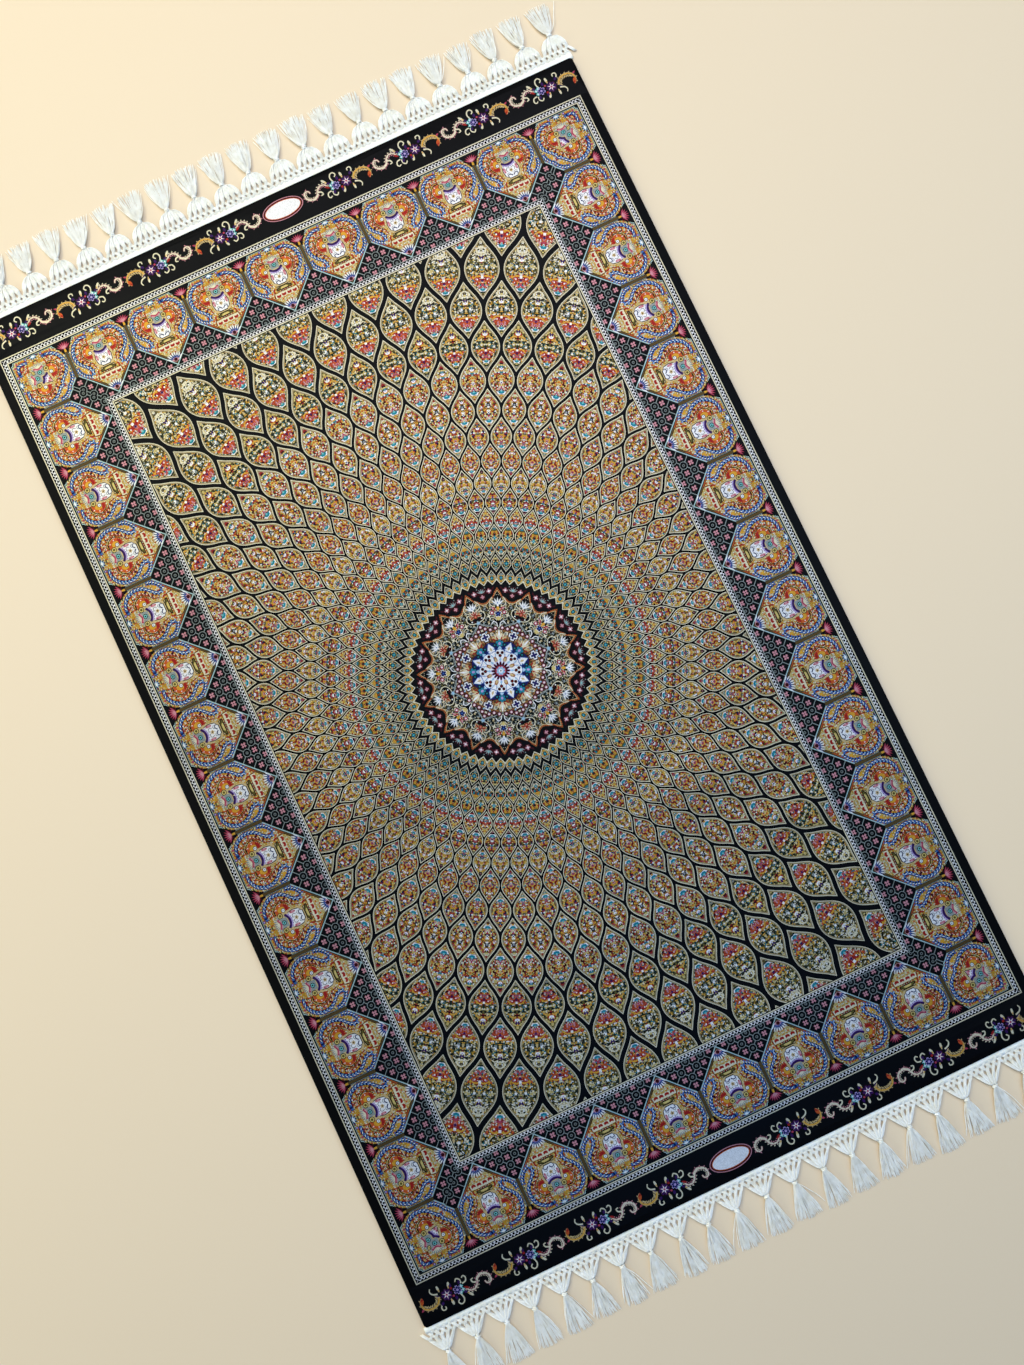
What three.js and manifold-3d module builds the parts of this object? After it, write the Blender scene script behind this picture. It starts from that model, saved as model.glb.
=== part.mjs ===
// A silk rug lying flat: a thin pile cloth with a netted, tasselled fringe sewn along each short end.
// Millimetres. +Z is up, +Y runs along the rug, and the origin is at the middle of its underside.

import * as THREE from "three";
import { mergeVertices } from "three/addons/utils/BufferGeometryUtils.js";
import Module from "manifold-3d";

const wasm = await Module();
wasm.setup();

// Pile cloth
const RUG_WIDTH = 763;
const RUG_LENGTH = 1233;
const RUG_THICKNESS = 6;
const CORNER_RADIUS = 4;
const EDGE_ROUND = 1.4;

// Fringe, with lengths counted outwards from the end of the pile
const SEAM_GAP = 0.3;
const HEADING_WIDTH = 9;
const HEADING_THICKNESS = 3.2;
const HEADING_OVERHANG = 2.5;
const NET_THICKNESS = 2.4;
const TASSELS = 22;
const TASSEL_PITCH = 35.1;
const KNOT_LENGTH = 6;
const KNOT_HALF_WIDTH = 3.2;
const KNOT_HEIGHT = 5;
const TAIL_TIP = 74;
const LOCKS = 6;
const LOCK_SPACING = 5.5;
const SMOOTHING = 0.02;

// How each end's net runs from the valley between two tassels to their knots
const ENDS = [
  { name: "fringe_far", turn: 0, valley: 18, knot: 33, bulge: 0.85, salt: 1 },
  { name: "fringe_near", turn: Math.PI, valley: 16.5, knot: 29.5, bulge: 0.15, salt: 2 },
];

// How far a tassel strays from the even layout
const STRAY = { knotSide: 1.1, tailSide: 1.2, tailLength: 1.8 };

// Cross-sections of a knot: share of its length, width and height
const KNOT_ROWS = [
  { along: 0, width: 1.0, height: 0.6 },
  { along: 0.5, width: 1.1, height: 1.0 },
  { along: 1, width: 0.95, height: 0.8 },
];

// Cross-sections of a lock of threads: share of its length, share of its spread, and its real size
const LOCK_ROWS = [
  { along: 0, fan: 0.18, halfWidth: 0.38, height: 3 },
  { along: 0.5, fan: 0.72, halfWidth: 1.5, height: 2.6 },
  { along: 1, fan: 1, halfWidth: 1.9, height: 1.7 },
];

// Outlines of those cross-sections, with a flat foot on the floor
const KNOT_OUTLINE = [{ x: -1, z: 0 }, { x: 1, z: 0 }, { x: 0.6, z: 1 }, { x: -0.6, z: 1 }];
const LOCK_OUTLINE = [{ x: -1, z: 0 }, { x: 1, z: 0 }, { x: 0, z: 1 }];

const silkPile = new THREE.MeshStandardMaterial({ color: 0x1b1a22, roughness: 0.55, metalness: 0 });
const fringeYarn = new THREE.MeshStandardMaterial({ color: 0xf1ece0, roughness: 0.8, metalness: 0 });

// A steady irregularity between -1 and 1 for each tassel or lock
function stray(index, salt) {
  const wave = Math.sin(index * 12.9898 + salt * 78.233) * 43758.5453;
  return 2 * (wave - Math.floor(wave)) - 1;
}

function solidFrom(geometry) {
  const bare = geometry.clone();
  bare.deleteAttribute("normal");
  bare.deleteAttribute("uv");
  const merged = mergeVertices(bare);
  const vertProperties = new Float32Array(merged.attributes.position.array);
  const triVerts = new Uint32Array(merged.index.array);
  return new wasm.Manifold(new wasm.Mesh({ numProp: 3, vertProperties, triVerts }));
}

function geometryFrom(solid) {
  const mesh = solid.getMesh();
  const geometry = new THREE.BufferGeometry();
  geometry.setAttribute("position", new THREE.BufferAttribute(mesh.vertProperties, 3));
  geometry.setIndex(new THREE.BufferAttribute(mesh.triVerts, 1));
  geometry.computeVertexNormals();
  return geometry;
}

// A rectangle with round corners, centred on the origin
function roundedRectangle(width, length, radius) {
  const right = width / 2;
  const top = length / 2;
  const shape = new THREE.Shape();
  shape.moveTo(radius - right, -top);
  shape.lineTo(right - radius, -top);
  shape.absarc(right - radius, radius - top, radius, -Math.PI / 2, 0);
  shape.lineTo(right, top - radius);
  shape.absarc(right - radius, top - radius, radius, 0, Math.PI / 2);
  shape.lineTo(radius - right, top);
  shape.absarc(radius - right, top - radius, radius, Math.PI / 2, Math.PI);
  shape.lineTo(-right, radius - top);
  shape.absarc(radius - right, radius - top, radius, Math.PI, 1.5 * Math.PI);
  return shape;
}

function pileGeometry() {
  const inset = 2 * EDGE_ROUND;
  const outline = roundedRectangle(RUG_WIDTH - inset, RUG_LENGTH - inset, CORNER_RADIUS);
  const geometry = new THREE.ExtrudeGeometry(outline, {
    depth: RUG_THICKNESS - inset,
    bevelThickness: EDGE_ROUND,
    bevelSize: EDGE_ROUND,
    bevelSegments: 2,
    curveSegments: 4,
  });
  return geometry.translate(0, 0, EDGE_ROUND);
}

// A bar along +Y through its cross-sections, each the same outline at its own width and height
function loft(outline, rows) {
  const steps = rows.length - 1;
  const section = new THREE.Shape(outline.map((point) => new THREE.Vector2(point.x, point.z)));
  const geometry = new THREE.ExtrudeGeometry(section, { depth: 1, steps, bevelEnabled: false });
  const place = geometry.attributes.position;
  for (let i = 0; i < place.count; i += 1) {
    const row = rows[Math.round(place.getZ(i) * steps)];
    place.setXYZ(i, row.x - place.getX(i) * row.halfWidth, row.y, place.getY(i) * row.height);
  }
  return geometry;
}

// Where each tassel of an end has its knot, and where its tail leans and ends
function tasselPlaces(end) {
  const places = [];
  for (let i = 0; i < TASSELS; i += 1) {
    const middle = (i - (TASSELS - 1) / 2) * TASSEL_PITCH;
    places.push({
      x: middle + STRAY.knotSide * stray(i, end.salt),
      lean: STRAY.tailSide * stray(i, end.salt + 2),
      tip: TAIL_TIP + STRAY.tailLength * stray(i, end.salt + 4),
    });
  }
  return places;
}

// Half the width of a net scallop, as a share, where 0 is the valley and 1 the knot
function scallop(along, bulge) {
  const arched = Math.sqrt(1 - along * along);
  return bulge * arched + (1 - bulge) * (1 - along);
}

function netGeometry(end, places) {
  const shares = [0.35, 0.65, 0.88, 1];
  const height = end.knot - end.valley;
  const side = RUG_WIDTH / 2 + HEADING_OVERHANG;
  const base = HEADING_WIDTH / 2;
  const valleys = [-side];
  for (let i = 1; i < TASSELS; i += 1) {
    valleys.push((places[i - 1].x + places[i].x) / 2);
  }
  valleys.push(side);
  const shape = new THREE.Shape();
  shape.moveTo(side, base);
  shape.lineTo(-side, base);
  places.forEach((place, i) => {
    const flank = (along, edge) => {
      const reach = (Math.abs(edge - place.x) - KNOT_HALF_WIDTH) * scallop(along, end.bulge);
      return place.x + Math.sign(edge - place.x) * (KNOT_HALF_WIDTH + reach);
    };
    shape.lineTo(valleys[i], end.valley);
    shares.forEach((along) => {
      shape.lineTo(flank(along, valleys[i]), end.valley + height * along);
    });
    [...shares].reverse().forEach((along) => {
      shape.lineTo(flank(along, valleys[i + 1]), end.valley + height * along);
    });
  });
  shape.lineTo(side, end.valley);
  return new THREE.ExtrudeGeometry(shape, { depth: NET_THICKNESS, bevelEnabled: false });
}

function headingGeometry() {
  const width = RUG_WIDTH + 2 * HEADING_OVERHANG;
  const strip = new THREE.BoxGeometry(width, HEADING_WIDTH, HEADING_THICKNESS);
  return strip.translate(0, HEADING_WIDTH / 2, HEADING_THICKNESS / 2);
}

function knotGeometry(end, place) {
  return loft(KNOT_OUTLINE, KNOT_ROWS.map((row) => ({
    x: place.x,
    y: end.knot - 1 + row.along * KNOT_LENGTH,
    halfWidth: KNOT_HALF_WIDTH * row.width,
    height: KNOT_HEIGHT * row.height,
  })));
}

function lockGeometry(end, place, index, lock) {
  const fan = (lock - (LOCKS - 1) / 2) * LOCK_SPACING;
  const root = end.knot + KNOT_LENGTH - 3;
  const ragged = STRAY.tailLength * stray(index * LOCKS + lock, end.salt + 6);
  return loft(LOCK_OUTLINE, LOCK_ROWS.map((row) => ({
    x: place.x + fan * row.fan + place.lean * row.along,
    y: root + (place.tip + ragged - root) * row.along,
    halfWidth: row.halfWidth,
    height: row.height,
  })));
}

function fringeGeometry(end) {
  const places = tasselPlaces(end);
  let solid = solidFrom(headingGeometry()).add(solidFrom(netGeometry(end, places)));
  places.forEach((place, index) => {
    solid = solid.add(solidFrom(knotGeometry(end, place)));
    for (let lock = 0; lock < LOCKS; lock += 1) {
      solid = solid.add(solidFrom(lockGeometry(end, place, index, lock)));
    }
  });
  return geometryFrom(solid.asOriginal().simplify(SMOOTHING));
}

const rug = new THREE.Group();

const pile = new THREE.Mesh(pileGeometry(), silkPile);
pile.name = "pile";
rug.add(pile);

ENDS.forEach((end) => {
  const fringe = new THREE.Mesh(fringeGeometry(end), fringeYarn);
  fringe.name = end.name;
  const seam = RUG_LENGTH / 2 + SEAM_GAP;
  fringe.position.set(0, Math.cos(end.turn) * seam, 0);
  fringe.rotation.z = end.turn;
  rug.add(fringe);
});

export default rug;
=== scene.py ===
"""A silk rug lying flat: a pattern of dyed silk knots, and a netted, tasselled fringe at each end.

Sizes in the drawing of the pattern are millimetres on the rug, as a weaver's chart gives them.
Sizes of Blender's meshes are metres. +Y runs along the rug and the origin is under its middle.
"""
import math
import random

import bpy
import numpy as np
from bpy.props import FloatProperty, FloatVectorProperty, PointerProperty
from mathutils import Matrix, Vector
from mathutils.geometry import delaunay_2d_cdt


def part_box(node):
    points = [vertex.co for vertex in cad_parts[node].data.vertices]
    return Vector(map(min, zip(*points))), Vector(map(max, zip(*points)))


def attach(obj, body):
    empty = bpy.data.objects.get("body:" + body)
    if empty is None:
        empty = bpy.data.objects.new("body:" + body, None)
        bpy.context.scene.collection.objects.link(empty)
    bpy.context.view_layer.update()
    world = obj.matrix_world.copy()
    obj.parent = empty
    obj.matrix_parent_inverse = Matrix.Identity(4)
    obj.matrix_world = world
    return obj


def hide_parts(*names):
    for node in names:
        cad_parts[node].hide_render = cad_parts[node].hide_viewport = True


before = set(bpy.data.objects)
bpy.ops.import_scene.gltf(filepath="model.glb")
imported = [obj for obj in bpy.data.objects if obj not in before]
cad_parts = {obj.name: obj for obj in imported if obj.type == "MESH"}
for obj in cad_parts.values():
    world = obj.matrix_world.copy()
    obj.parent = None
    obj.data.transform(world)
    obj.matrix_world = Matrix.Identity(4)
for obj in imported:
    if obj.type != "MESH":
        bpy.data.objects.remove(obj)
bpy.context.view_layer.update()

bl_info = {
    "name": "Silk Rug",
    "version": (1, 0, 0),
    "blender": (4, 5, 0),
    "location": "3D View > Sidebar > Silk Rug",
    "description": "Builds a knotted silk rug with a netted and tasselled fringe",
    "category": "Add Mesh",
}

MM = 0.001
TAU = 2 * math.pi
PILE_LOW, PILE_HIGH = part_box("pile")
RUG_WIDTH = round((PILE_HIGH[0] - PILE_LOW[0]) / MM)
RUG_LENGTH = round((PILE_HIGH[1] - PILE_LOW[1]) / MM)
RUG_THICKNESS = round((PILE_HIGH[2] - PILE_LOW[2]) / MM, 1)

# Layout of the cloth
HALF_WIDTH = RUG_WIDTH / 2
HALF_LENGTH = RUG_LENGTH / 2
CORNER_RADIUS = 4
EDGE_ROUND = 1.4
GUARD_X = 370.5
GUARD_Y = 570
BORDER_DEPTH = 101
FIELD_X = GUARD_X - BORDER_DEPTH
FIELD_Y = GUARD_Y - BORDER_DEPTH
GUARD_WIDTH = 9
INNER_GUARD_DEPTH = 92.5
SHORT_TILES = 10
LONG_TILES = 15
NEAR_POINTS = 0.01

# Dyes of the silk
DYES = {
    "night": 0x06070C,
    "cream": 0xE6DDBC,
    "white": 0xF4F2EC,
    "gold": 0xDCA83C,
    "straw": 0xDCC67C,
    "olive": 0x6E6430,
    "bronze": 0x63502E,
    "orange": 0xCC6230,
    "red": 0xA82C28,
    "pink": 0xD4989C,
    "rose": 0xB84C62,
    "maroon": 0x460C18,
    "navy": 0x1A2660,
    "blue": 0x4470AC,
    "sky": 0xA2CADE,
    "teal": 0x2A8A98,
    "aqua": 0x86CCC6,
    "purple": 0x40205E,
    "lilac": 0xBAA6D2,
    "forest": 0x202E26,
    "grey": 0x9AA29C,
    "steel": 0x868C86,
    "sand": 0xD2BA86,
    "tan": 0xAE7440,
    "crown": 0xA89C6A,
    "meadow": 0x6E6C48,
    "ember": 0xA84A34,
    "blossom": 0xB88440,
    "spring": 0x8C8A56,
    "sun": 0xDCA83C,
    "glow": 0xDCC67C,
    "mist": 0xB0CAC4,
    "dusk": 0x4A4A3E,
    "clay": 0x967650,
}
DYE_NAMES = list(DYES)

# Grounds of small flecks: the share of the knots that each dye has there
MIXES = {
    "crown": {"olive": 14, "straw": 16, "cream": 28, "white": 12, "bronze": 11, "forest": 19},
    "meadow": {"forest": 25, "olive": 15, "straw": 16, "bronze": 10, "cream": 14, "white": 4, "grey": 4,
               "gold": 7, "teal": 5},
    "ember": {"orange": 20, "red": 20, "gold": 13, "cream": 10, "maroon": 11, "pink": 9, "rose": 7,
              "white": 6, "teal": 4},
    "blossom": {"gold": 17, "orange": 5, "red": 12, "straw": 19, "maroon": 11, "olive": 8, "cream": 7,
                "white": 5, "teal": 5, "rose": 4, "pink": 4, "navy": 3},
    "spring": {"straw": 24, "olive": 13, "forest": 16, "grey": 4, "gold": 14, "teal": 7, "red": 8,
               "cream": 14},
    "sun": {"gold": 31, "straw": 31, "cream": 18, "orange": 9, "red": 5, "olive": 6},
    "glow": {"straw": 52, "cream": 30, "gold": 18},
    "dusk": {"night": 30, "forest": 16, "grey": 14, "sand": 12, "cream": 12, "olive": 10, "maroon": 6},
    "clay": {"tan": 22, "sand": 24, "bronze": 20, "cream": 18, "maroon": 16},
}

# Width of one fleck, and the least area of a patch of dye
FLECK = 1.7
SMALLEST_PATCH = 0.02


def channels(code):
    """The red, green and blue shares of a colour code."""
    return [((code >> shift) & 255) / 255 for shift in (16, 8, 0)]


def linear(code):
    """A colour code as the linear light that a shader takes."""
    return [c / 12.92 if c <= 0.04045 else ((c + 0.055) / 1.055) ** 2.4 for c in channels(code)]


class RugSizes(bpy.types.PropertyGroup):
    """Sizes of the pile cloth."""
    back: FloatProperty(
        name="Back", description="Thickness of the woven back under the pile",
        default=1.5 * MM, unit="LENGTH")
    knot: FloatProperty(
        name="Knot", description="Size of one knot of the pile",
        default=0.8 * MM, unit="LENGTH")


class FringeSizes(bpy.types.PropertyGroup):
    """Sizes of the fringes."""
    yarn: FloatProperty(
        name="Yarn", description="Thickness of one thread of the fringe",
        default=0.95 * MM, unit="LENGTH")


class RugFinish(bpy.types.PropertyGroup):
    """Colours of the yarns that are not part of the knotted pattern."""
    ivory: FloatVectorProperty(
        name="Fringe yarn", description="Colour of the fringe's yarn",
        default=linear(0xFFFAF0), subtype="COLOR", size=3, min=0, max=1)
    back: FloatVectorProperty(
        name="Back yarn", description="Colour of the yarn that shows on the back",
        default=linear(0x6B625A), subtype="COLOR", size=3, min=0, max=1)
    floor: FloatVectorProperty(
        name="Floor", description="Colour of the plain floor",
        default=linear(0xDEC8AB), subtype="COLOR", size=3, min=0, max=1)


# The chart of the pattern

def signed_area(points):
    total = 0.0
    last_x, last_y = points[-1]
    for x, y in points:
        total += last_x * y - x * last_y
        last_x, last_y = x, y
    return total / 2


class Chart:
    """Patches of dye on the plan of the rug, each lying over the ones laid before it."""

    def __init__(self):
        self.patches = []

    def lay(self, dye, outline):
        area = signed_area(outline)
        if abs(area) < SMALLEST_PATCH:
            return
        if area < 0:
            outline = outline[::-1]
        self.patches.append((DYE_NAMES.index(dye), outline))


def spline(points, steps=4):
    """A smooth line through the points."""
    ends = [points[0]] + list(points) + [points[-1]]
    line = []
    for before, start, end, after in zip(ends, ends[1:], ends[2:], ends[3:]):
        for step in range(steps):
            t = step / steps
            line.append(tuple(
                0.5 * (2 * b + (c - a) * t + (2 * a - 5 * b + 4 * c - d) * t * t
                       + (3 * b - a - 3 * c + d) * t ** 3)
                for a, b, c, d in zip(before, start, end, after)))
    line.append(tuple(points[-1]))
    return line


def along(points, count, start=0.0, end=1.0):
    """Evenly spaced points on a line, each with the line's heading there."""
    lengths = [0.0]
    for (ax, ay), (bx, by) in zip(points, points[1:]):
        lengths.append(lengths[-1] + math.hypot(bx - ax, by - ay))
    spots = []
    for i in range(count):
        share = start + (end - start) * (i / (count - 1) if count > 1 else 0.5)
        goal = share * lengths[-1]
        k = 0
        while k < len(lengths) - 2 and lengths[k + 1] < goal:
            k += 1
        (ax, ay), (bx, by) = points[k], points[k + 1]
        t = (goal - lengths[k]) / max(lengths[k + 1] - lengths[k], 1e-9)
        spots.append((ax + (bx - ax) * t, ay + (by - ay) * t, math.atan2(by - ay, bx - ax)))
    return spots


# Outlines of petals and leaves: share of the length, share of the half width
PETAL = [(0, 0.25), (0.5, 0.95), (0.85, 0.8)]
LEAF = [(0, 0), (0.3, 0.85), (0.6, 0.9)]
KITE = [(0, 0), (0.45, 1)]


def each(stroke):
    """A method that makes the stroke once for every row of its values."""
    def strokes(pen, *rows):
        for row in rows:
            stroke(pen, *row)
    return strokes


class Pen:
    """Draws in the measures of one motif and lays what it draws in the motif's place."""

    def __init__(self, chart, place, scale=1.0):
        self.chart = chart
        self.place = place
        self.scale = scale

    def mirrored(self):
        place = self.place
        return Pen(self.chart, lambda x, y: place(-x, y), self.scale)

    def both(self):
        return self, self.mirrored()

    def moved(self, across, up, heading=0.0, size=1.0):
        """A pen for a smaller motif, turned clockwise from this one's +Y by the heading."""
        place = self.place
        sin, cos = math.sin(math.radians(heading)) * size, math.cos(math.radians(heading)) * size
        return Pen(self.chart, lambda x, y: place(across + x * cos + y * sin, up + y * cos - x * sin))

    def fill(self, dye, points):
        place = self.place
        self.chart.lay(dye, [place(x, y) for x, y in points])

    def oval(self, dye, x, y, across, sides=4, up=None):
        up = up or across
        self.fill(dye, [
            (x + across * math.cos(TAU * (i + 0.5) / sides), y + up * math.sin(TAU * (i + 0.5) / sides))
            for i in range(sides)])

    def blade(self, dye, x, y, length, half_width, heading, outline=PETAL):
        """A petal or leaf from its root, pointing clockwise from +Y by the heading."""
        sin, cos = math.sin(math.radians(heading)), math.cos(math.radians(heading))
        sides = [(share * length, width * half_width) for share, width in outline]
        shape = sides + [(length, 0)] + [(reach, -width) for reach, width in reversed(sides) if width]
        self.fill(dye, [(x + u * sin + v * cos, y + u * cos - v * sin) for u, v in shape])

    def fan(self, dye, x, y, length, half_width, spread, count, outline=KITE, heading=0):
        """Blades spread like a fan."""
        for i in range(count):
            turn = spread * (i / (count - 1) - 0.5) if count > 1 else 0
            self.blade(dye, x, y, length, half_width, heading + turn, outline)

    def rosette(self, dye, x, y, radius, petals=5, valley=0.6, turn=0):
        points = []
        for i in range(petals):
            for share, reach in ((-0.22, 1.0), (0.22, 1.0), (0.5, valley)):
                angle = turn + TAU * (i + share) / petals
                points.append((x + radius * reach * math.sin(angle), y + radius * reach * math.cos(angle)))
        self.fill(dye, points)

    def star(self, dye, x, y, radius, points, valley=0.45, turn=0):
        self.fill(dye, [
            (x + radius * (1, valley)[i % 2] * math.sin(turn + math.pi * i / points),
             y + radius * (1, valley)[i % 2] * math.cos(turn + math.pi * i / points))
            for i in range(2 * points)])

    def band(self, dye, points, width, tip=None):
        """A stroke of the given width, which narrows to another width at its end."""
        tip = width if tip is None else tip
        last = len(points) - 1
        edges = []
        for i, (x, y) in enumerate(points):
            ax, ay = points[max(i - 1, 0)]
            bx, by = points[min(i + 1, last)]
            span = math.hypot(bx - ax, by - ay) or 1.0
            half = (width + (tip - width) * i / last) / 2
            nx, ny = -(by - ay) / span * half, (bx - ax) / span * half
            edges.append((self.place(x + nx, y + ny), self.place(x - nx, y - ny)))
        for (a, b), (c, d) in zip(edges, edges[1:]):
            self.chart.lay(dye, [a, b, d])
            self.chart.lay(dye, [a, d, c])

    def beads(self, dye, points, count, radius):
        for x, y, _ in along(points, count):
            self.oval(dye, x, y, radius)

    def garland(self, dye, points, count, length, half_width, lean, start=0, end=1, outline=KITE):
        """Leaves set along a line, leaning to its left or right."""
        for x, y, course in along(points, count, start, end):
            self.blade(dye, x, y, length, half_width, 90 - math.degrees(course) + lean, outline)

    fills, ovals, blades, fans = each(fill), each(oval), each(blade), each(fan)
    rosettes, stars, bands, garlands = each(rosette), each(star), each(band), each(garland)


def turned(angle, radius=0.0):
    """A place whose +Y points outwards from the rug's middle, an angle clockwise from the far end."""
    sin, cos = math.sin(angle), math.cos(angle)

    def place(x, y):
        reach = radius + y
        return reach * sin + x * cos, reach * cos - x * sin
    return place


def around(chart, count, start=0.0):
    """Pens at even turns round the rug's middle."""
    return [Pen(chart, turned((i + start) * (TAU / count))) for i in range(count)]


# The field: rings of almond cells that grow outwards from the medallion

RAYS = 64
CELL_TURN = TAU / RAYS
RING_RATIO = 1.1165
RINGS = 15
KEY_RING = 11
KEY_RADIUS = 373.8
FLANK = 0.72
HALF_RING = 0.56
MEDALLION_REACH = 98

# Radii at which the black line between cells begins to grow, and at which it is widest
THIN_LINE = 180
WIDE_LINE = 417

# How far apart the flecks of two rings are taken, so that no two rings look alike
RING_SHIFT = 97.3


def ring_radius(ring):
    squeeze = 5.2 * math.exp(-ring / 0.9)
    return KEY_RADIUS * RING_RATIO ** (ring - KEY_RING) - squeeze


def ring_offset(ring):
    """Every other ring is turned by half a cell."""
    return 0.0 if (ring - KEY_RING) % 2 == 0 else 0.5


def cell_place(angle, radius):
    """A place inside a cell, in shares of the cell's width, +Y outwards."""
    def place(x, y):
        reach = radius * math.exp(y * CELL_TURN)
        turn = angle + x * CELL_TURN
        return reach * math.sin(turn), reach * math.cos(turn)
    return place


def almond(line, inset, steps):
    """A cell's outline inside its share of the black line, drawn in by an inset."""
    belly = 0.5 - line / 2 - inset
    tip = HALF_RING + (0.25 - 0.625 * line) / FLANK - 1.71 * inset
    bend = 2 * (tip - belly / FLANK)
    right = []
    for i in range(steps):
        y = tip * (1 - (i + 1) / steps)
        half = FLANK * (tip - y) if y > bend else belly - FLANK / (2 * bend) * y * y
        ogee = 1 - 0.10 * math.sin(math.pi * (y / tip - 0.6) / 0.4) if y > 0.6 * tip else 1
        right.append((half * ogee, y))
    lower = [(x, -y) for x, y in reversed(right[:-1])]
    side = right + lower
    return [(0, tip)] + side + [(0, -tip)] + [(-x, y) for x, y in reversed(side)]


def cell_frame(pen, width, line, steps, ground):
    """The lines round a cell, from the cream edge inwards to its ground of flecks."""
    if width < 15:
        layers = [("cream", 0.0), ("night", 0.6), (ground, 1.0)]
    elif width < 25:
        layers = [("cream", 0.0), ("night", 0.8), (ground, 1.3)]
    else:
        layers = [("cream", 0.0), ("night", 0.9), ("sand", 1.35), ("forest", 1.95), (ground, 2.3)]
    for dye, inset in layers:
        pen.fill(dye, almond(line, inset / width, steps))


def foot_fan(pen, y, size):
    """The teal fan at the foot of a cell."""
    pen.fans(
        ("white", 0, y - 0.6 * size, 1.3 * size, 0.34 * size, 120, 3),
        ("teal", 0, y - 0.55 * size, 1.15 * size, 0.32 * size, 84, 3))
    pen.oval("aqua", 0, y + 0.1 * size, 0.2 * size)


def tulip(pen, y, size):
    """A white cup with a dark crown."""
    pen.oval("straw", 0, y, 0.75 * size, 6, 0.9 * size)
    pen.fans(
        ("purple", 0, y - 0.1 * size, 1.2 * size, 0.32 * size, 52, 2, LEAF),
        ("white", 0, y - 0.65 * size, 1.05 * size, 0.24 * size, 96, 3))
    pen.ovals(("lilac", 0, y - 0.2 * size, 0.22 * size), ("red", 0, y - 0.85 * size, 0.24 * size))


def ember_foot(pen, top):
    """Red and orange petals round a small dark flower, and pink ones under it."""
    pen.fan("red", 0, top - 0.16, 0.24, 0.022, 190, 6)
    for side in pen.both():
        side.bands(
            ("gold", spline([(0.03, top - 0.05), (0.14, top - 0.03), (0.24, top - 0.1)], 2), 0.04, 0.03),
            ("orange", spline([(0.02, top - 0.22), (0.13, top - 0.16), (0.2, top - 0.24)], 2), 0.03, 0.02))
        side.ovals(
            ("orange", 0.28, top - 0.06, 0.035), ("pink", 0.1, top - 0.29, 0.034),
            ("white", 0.13, top - 0.12, 0.024))
    pen.ovals(
        ("white", 0, top - 0.07, 0.045), ("purple", 0, top - 0.16, 0.034, 6),
        ("rose", 0, top - 0.28, 0.045))


def outer_cell(pen):
    """The widest cells: pale scrolls, a tulip, a wreath on green, embers and a fan."""
    pen.fills(
        ("crown", [(-0.27, 0.3), (0.27, 0.3), (0, 0.66)]),
        ("ember", [
            (-0.34, -0.15), (0.34, -0.15), (0.2, -0.4), (0.06, -0.58), (-0.06, -0.58), (-0.2, -0.4)]))
    for side in pen.both():
        side.bands(
            ("cream", spline([(0.02, 0.56), (0.11, 0.5), (0.1, 0.42), (0.03, 0.42)], 3), 0.035, 0.025),
            ("cream", spline([(0.06, 0.36), (0.15, 0.4), (0.22, 0.34)], 2), 0.03, 0.02),
            ("night", spline([(0.05, 0.31), (0.16, 0.35), (0.27, 0.28), (0.24, 0.2)], 3), 0.02, 0.024))
        side.blade("olive", 0.2, 0.16, 0.13, 0.024, 40, KITE)
        scroll = spline([(0.03, 0.12), (0.15, 0.13), (0.22, 0.02), (0.14, -0.08), (0.05, -0.08)], 3)
        side.band("night", scroll, 0.018, 0.016)
        side.ovals(
            ("white", 0.12, 0.06, 0.04), ("cream", 0.3, 0.02, 0.035), ("gold", 0.22, -0.1, 0.034))
    pen.oval("sand", 0, 0.03, 0.03, 6, 0.05)
    tulip(pen, 0.25, 0.1)
    ember_foot(pen, -0.15)
    foot_fan(pen, -0.53, 0.11)


def second_cell(pen):
    """The ring inside the widest one: its tulip is at the tip."""
    pen.fills(
        ("blossom", [(-0.24, 0.22), (0.24, 0.22), (0, 0.62)]),
        ("ember", [
            (-0.33, -0.07), (0.33, -0.07), (0.22, -0.32), (0.07, -0.5), (-0.07, -0.5), (-0.22, -0.32)]))
    for side in pen.both():
        side.band("gold", spline([(0.03, 0.3), (0.12, 0.34), (0.2, 0.26)], 2), 0.04, 0.03)
        side.blade("night", 0.02, 0.13, 0.16, 0.024, 66, KITE)
        side.band("night", spline([(0.04, 0.02), (0.16, -0.02), (0.26, 0.06), (0.2, 0.14)], 2), 0.018)
        side.ovals(("cream", 0.12, 0.24, 0.03), ("white", 0.27, 0, 0.034), ("red", 0.09, 0.38, 0.03))
    pen.blade("olive", 0, 0.1, 0.14, 0.03, 0, KITE)
    tulip(pen, 0.43, 0.11)
    ember_foot(pen, -0.04)
    foot_fan(pen, -0.45, 0.11)


def middle_cell(pen):
    """Cells of many small red, yellow and white flowers."""
    for side in pen.both():
        side.bands(
            ("maroon", spline([(0.03, 0.2), (0.14, 0.13), (0.22, 0), (0.13, -0.1)], 2), 0.026, 0.02),
            ("gold", spline([(0.03, 0.12), (0.12, 0.02), (0.05, -0.05)], 2), 0.03, 0.025))
        side.blade("red", 0.1, 0.34, 0.11, 0.03, -30, KITE)
        side.ovals(
            ("red", 0.19, -0.16, 0.04), ("white", 0.15, -0.22, 0.03), ("pink", 0.08, -0.33, 0.04))
    pen.fan("white", 0, 0.34, 0.12, 0.028, 84, 3)
    pen.ovals(("lilac", 0, 0.4, 0.03), ("grey", 0, 0.21, 0.045))
    pen.rosette("white", 0, -0.1, 0.06, 4, 0.5)
    pen.ovals(("purple", 0, -0.1, 0.035), ("rose", 0, -0.25, 0.045))
    foot_fan(pen, -0.42, 0.165)


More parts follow.
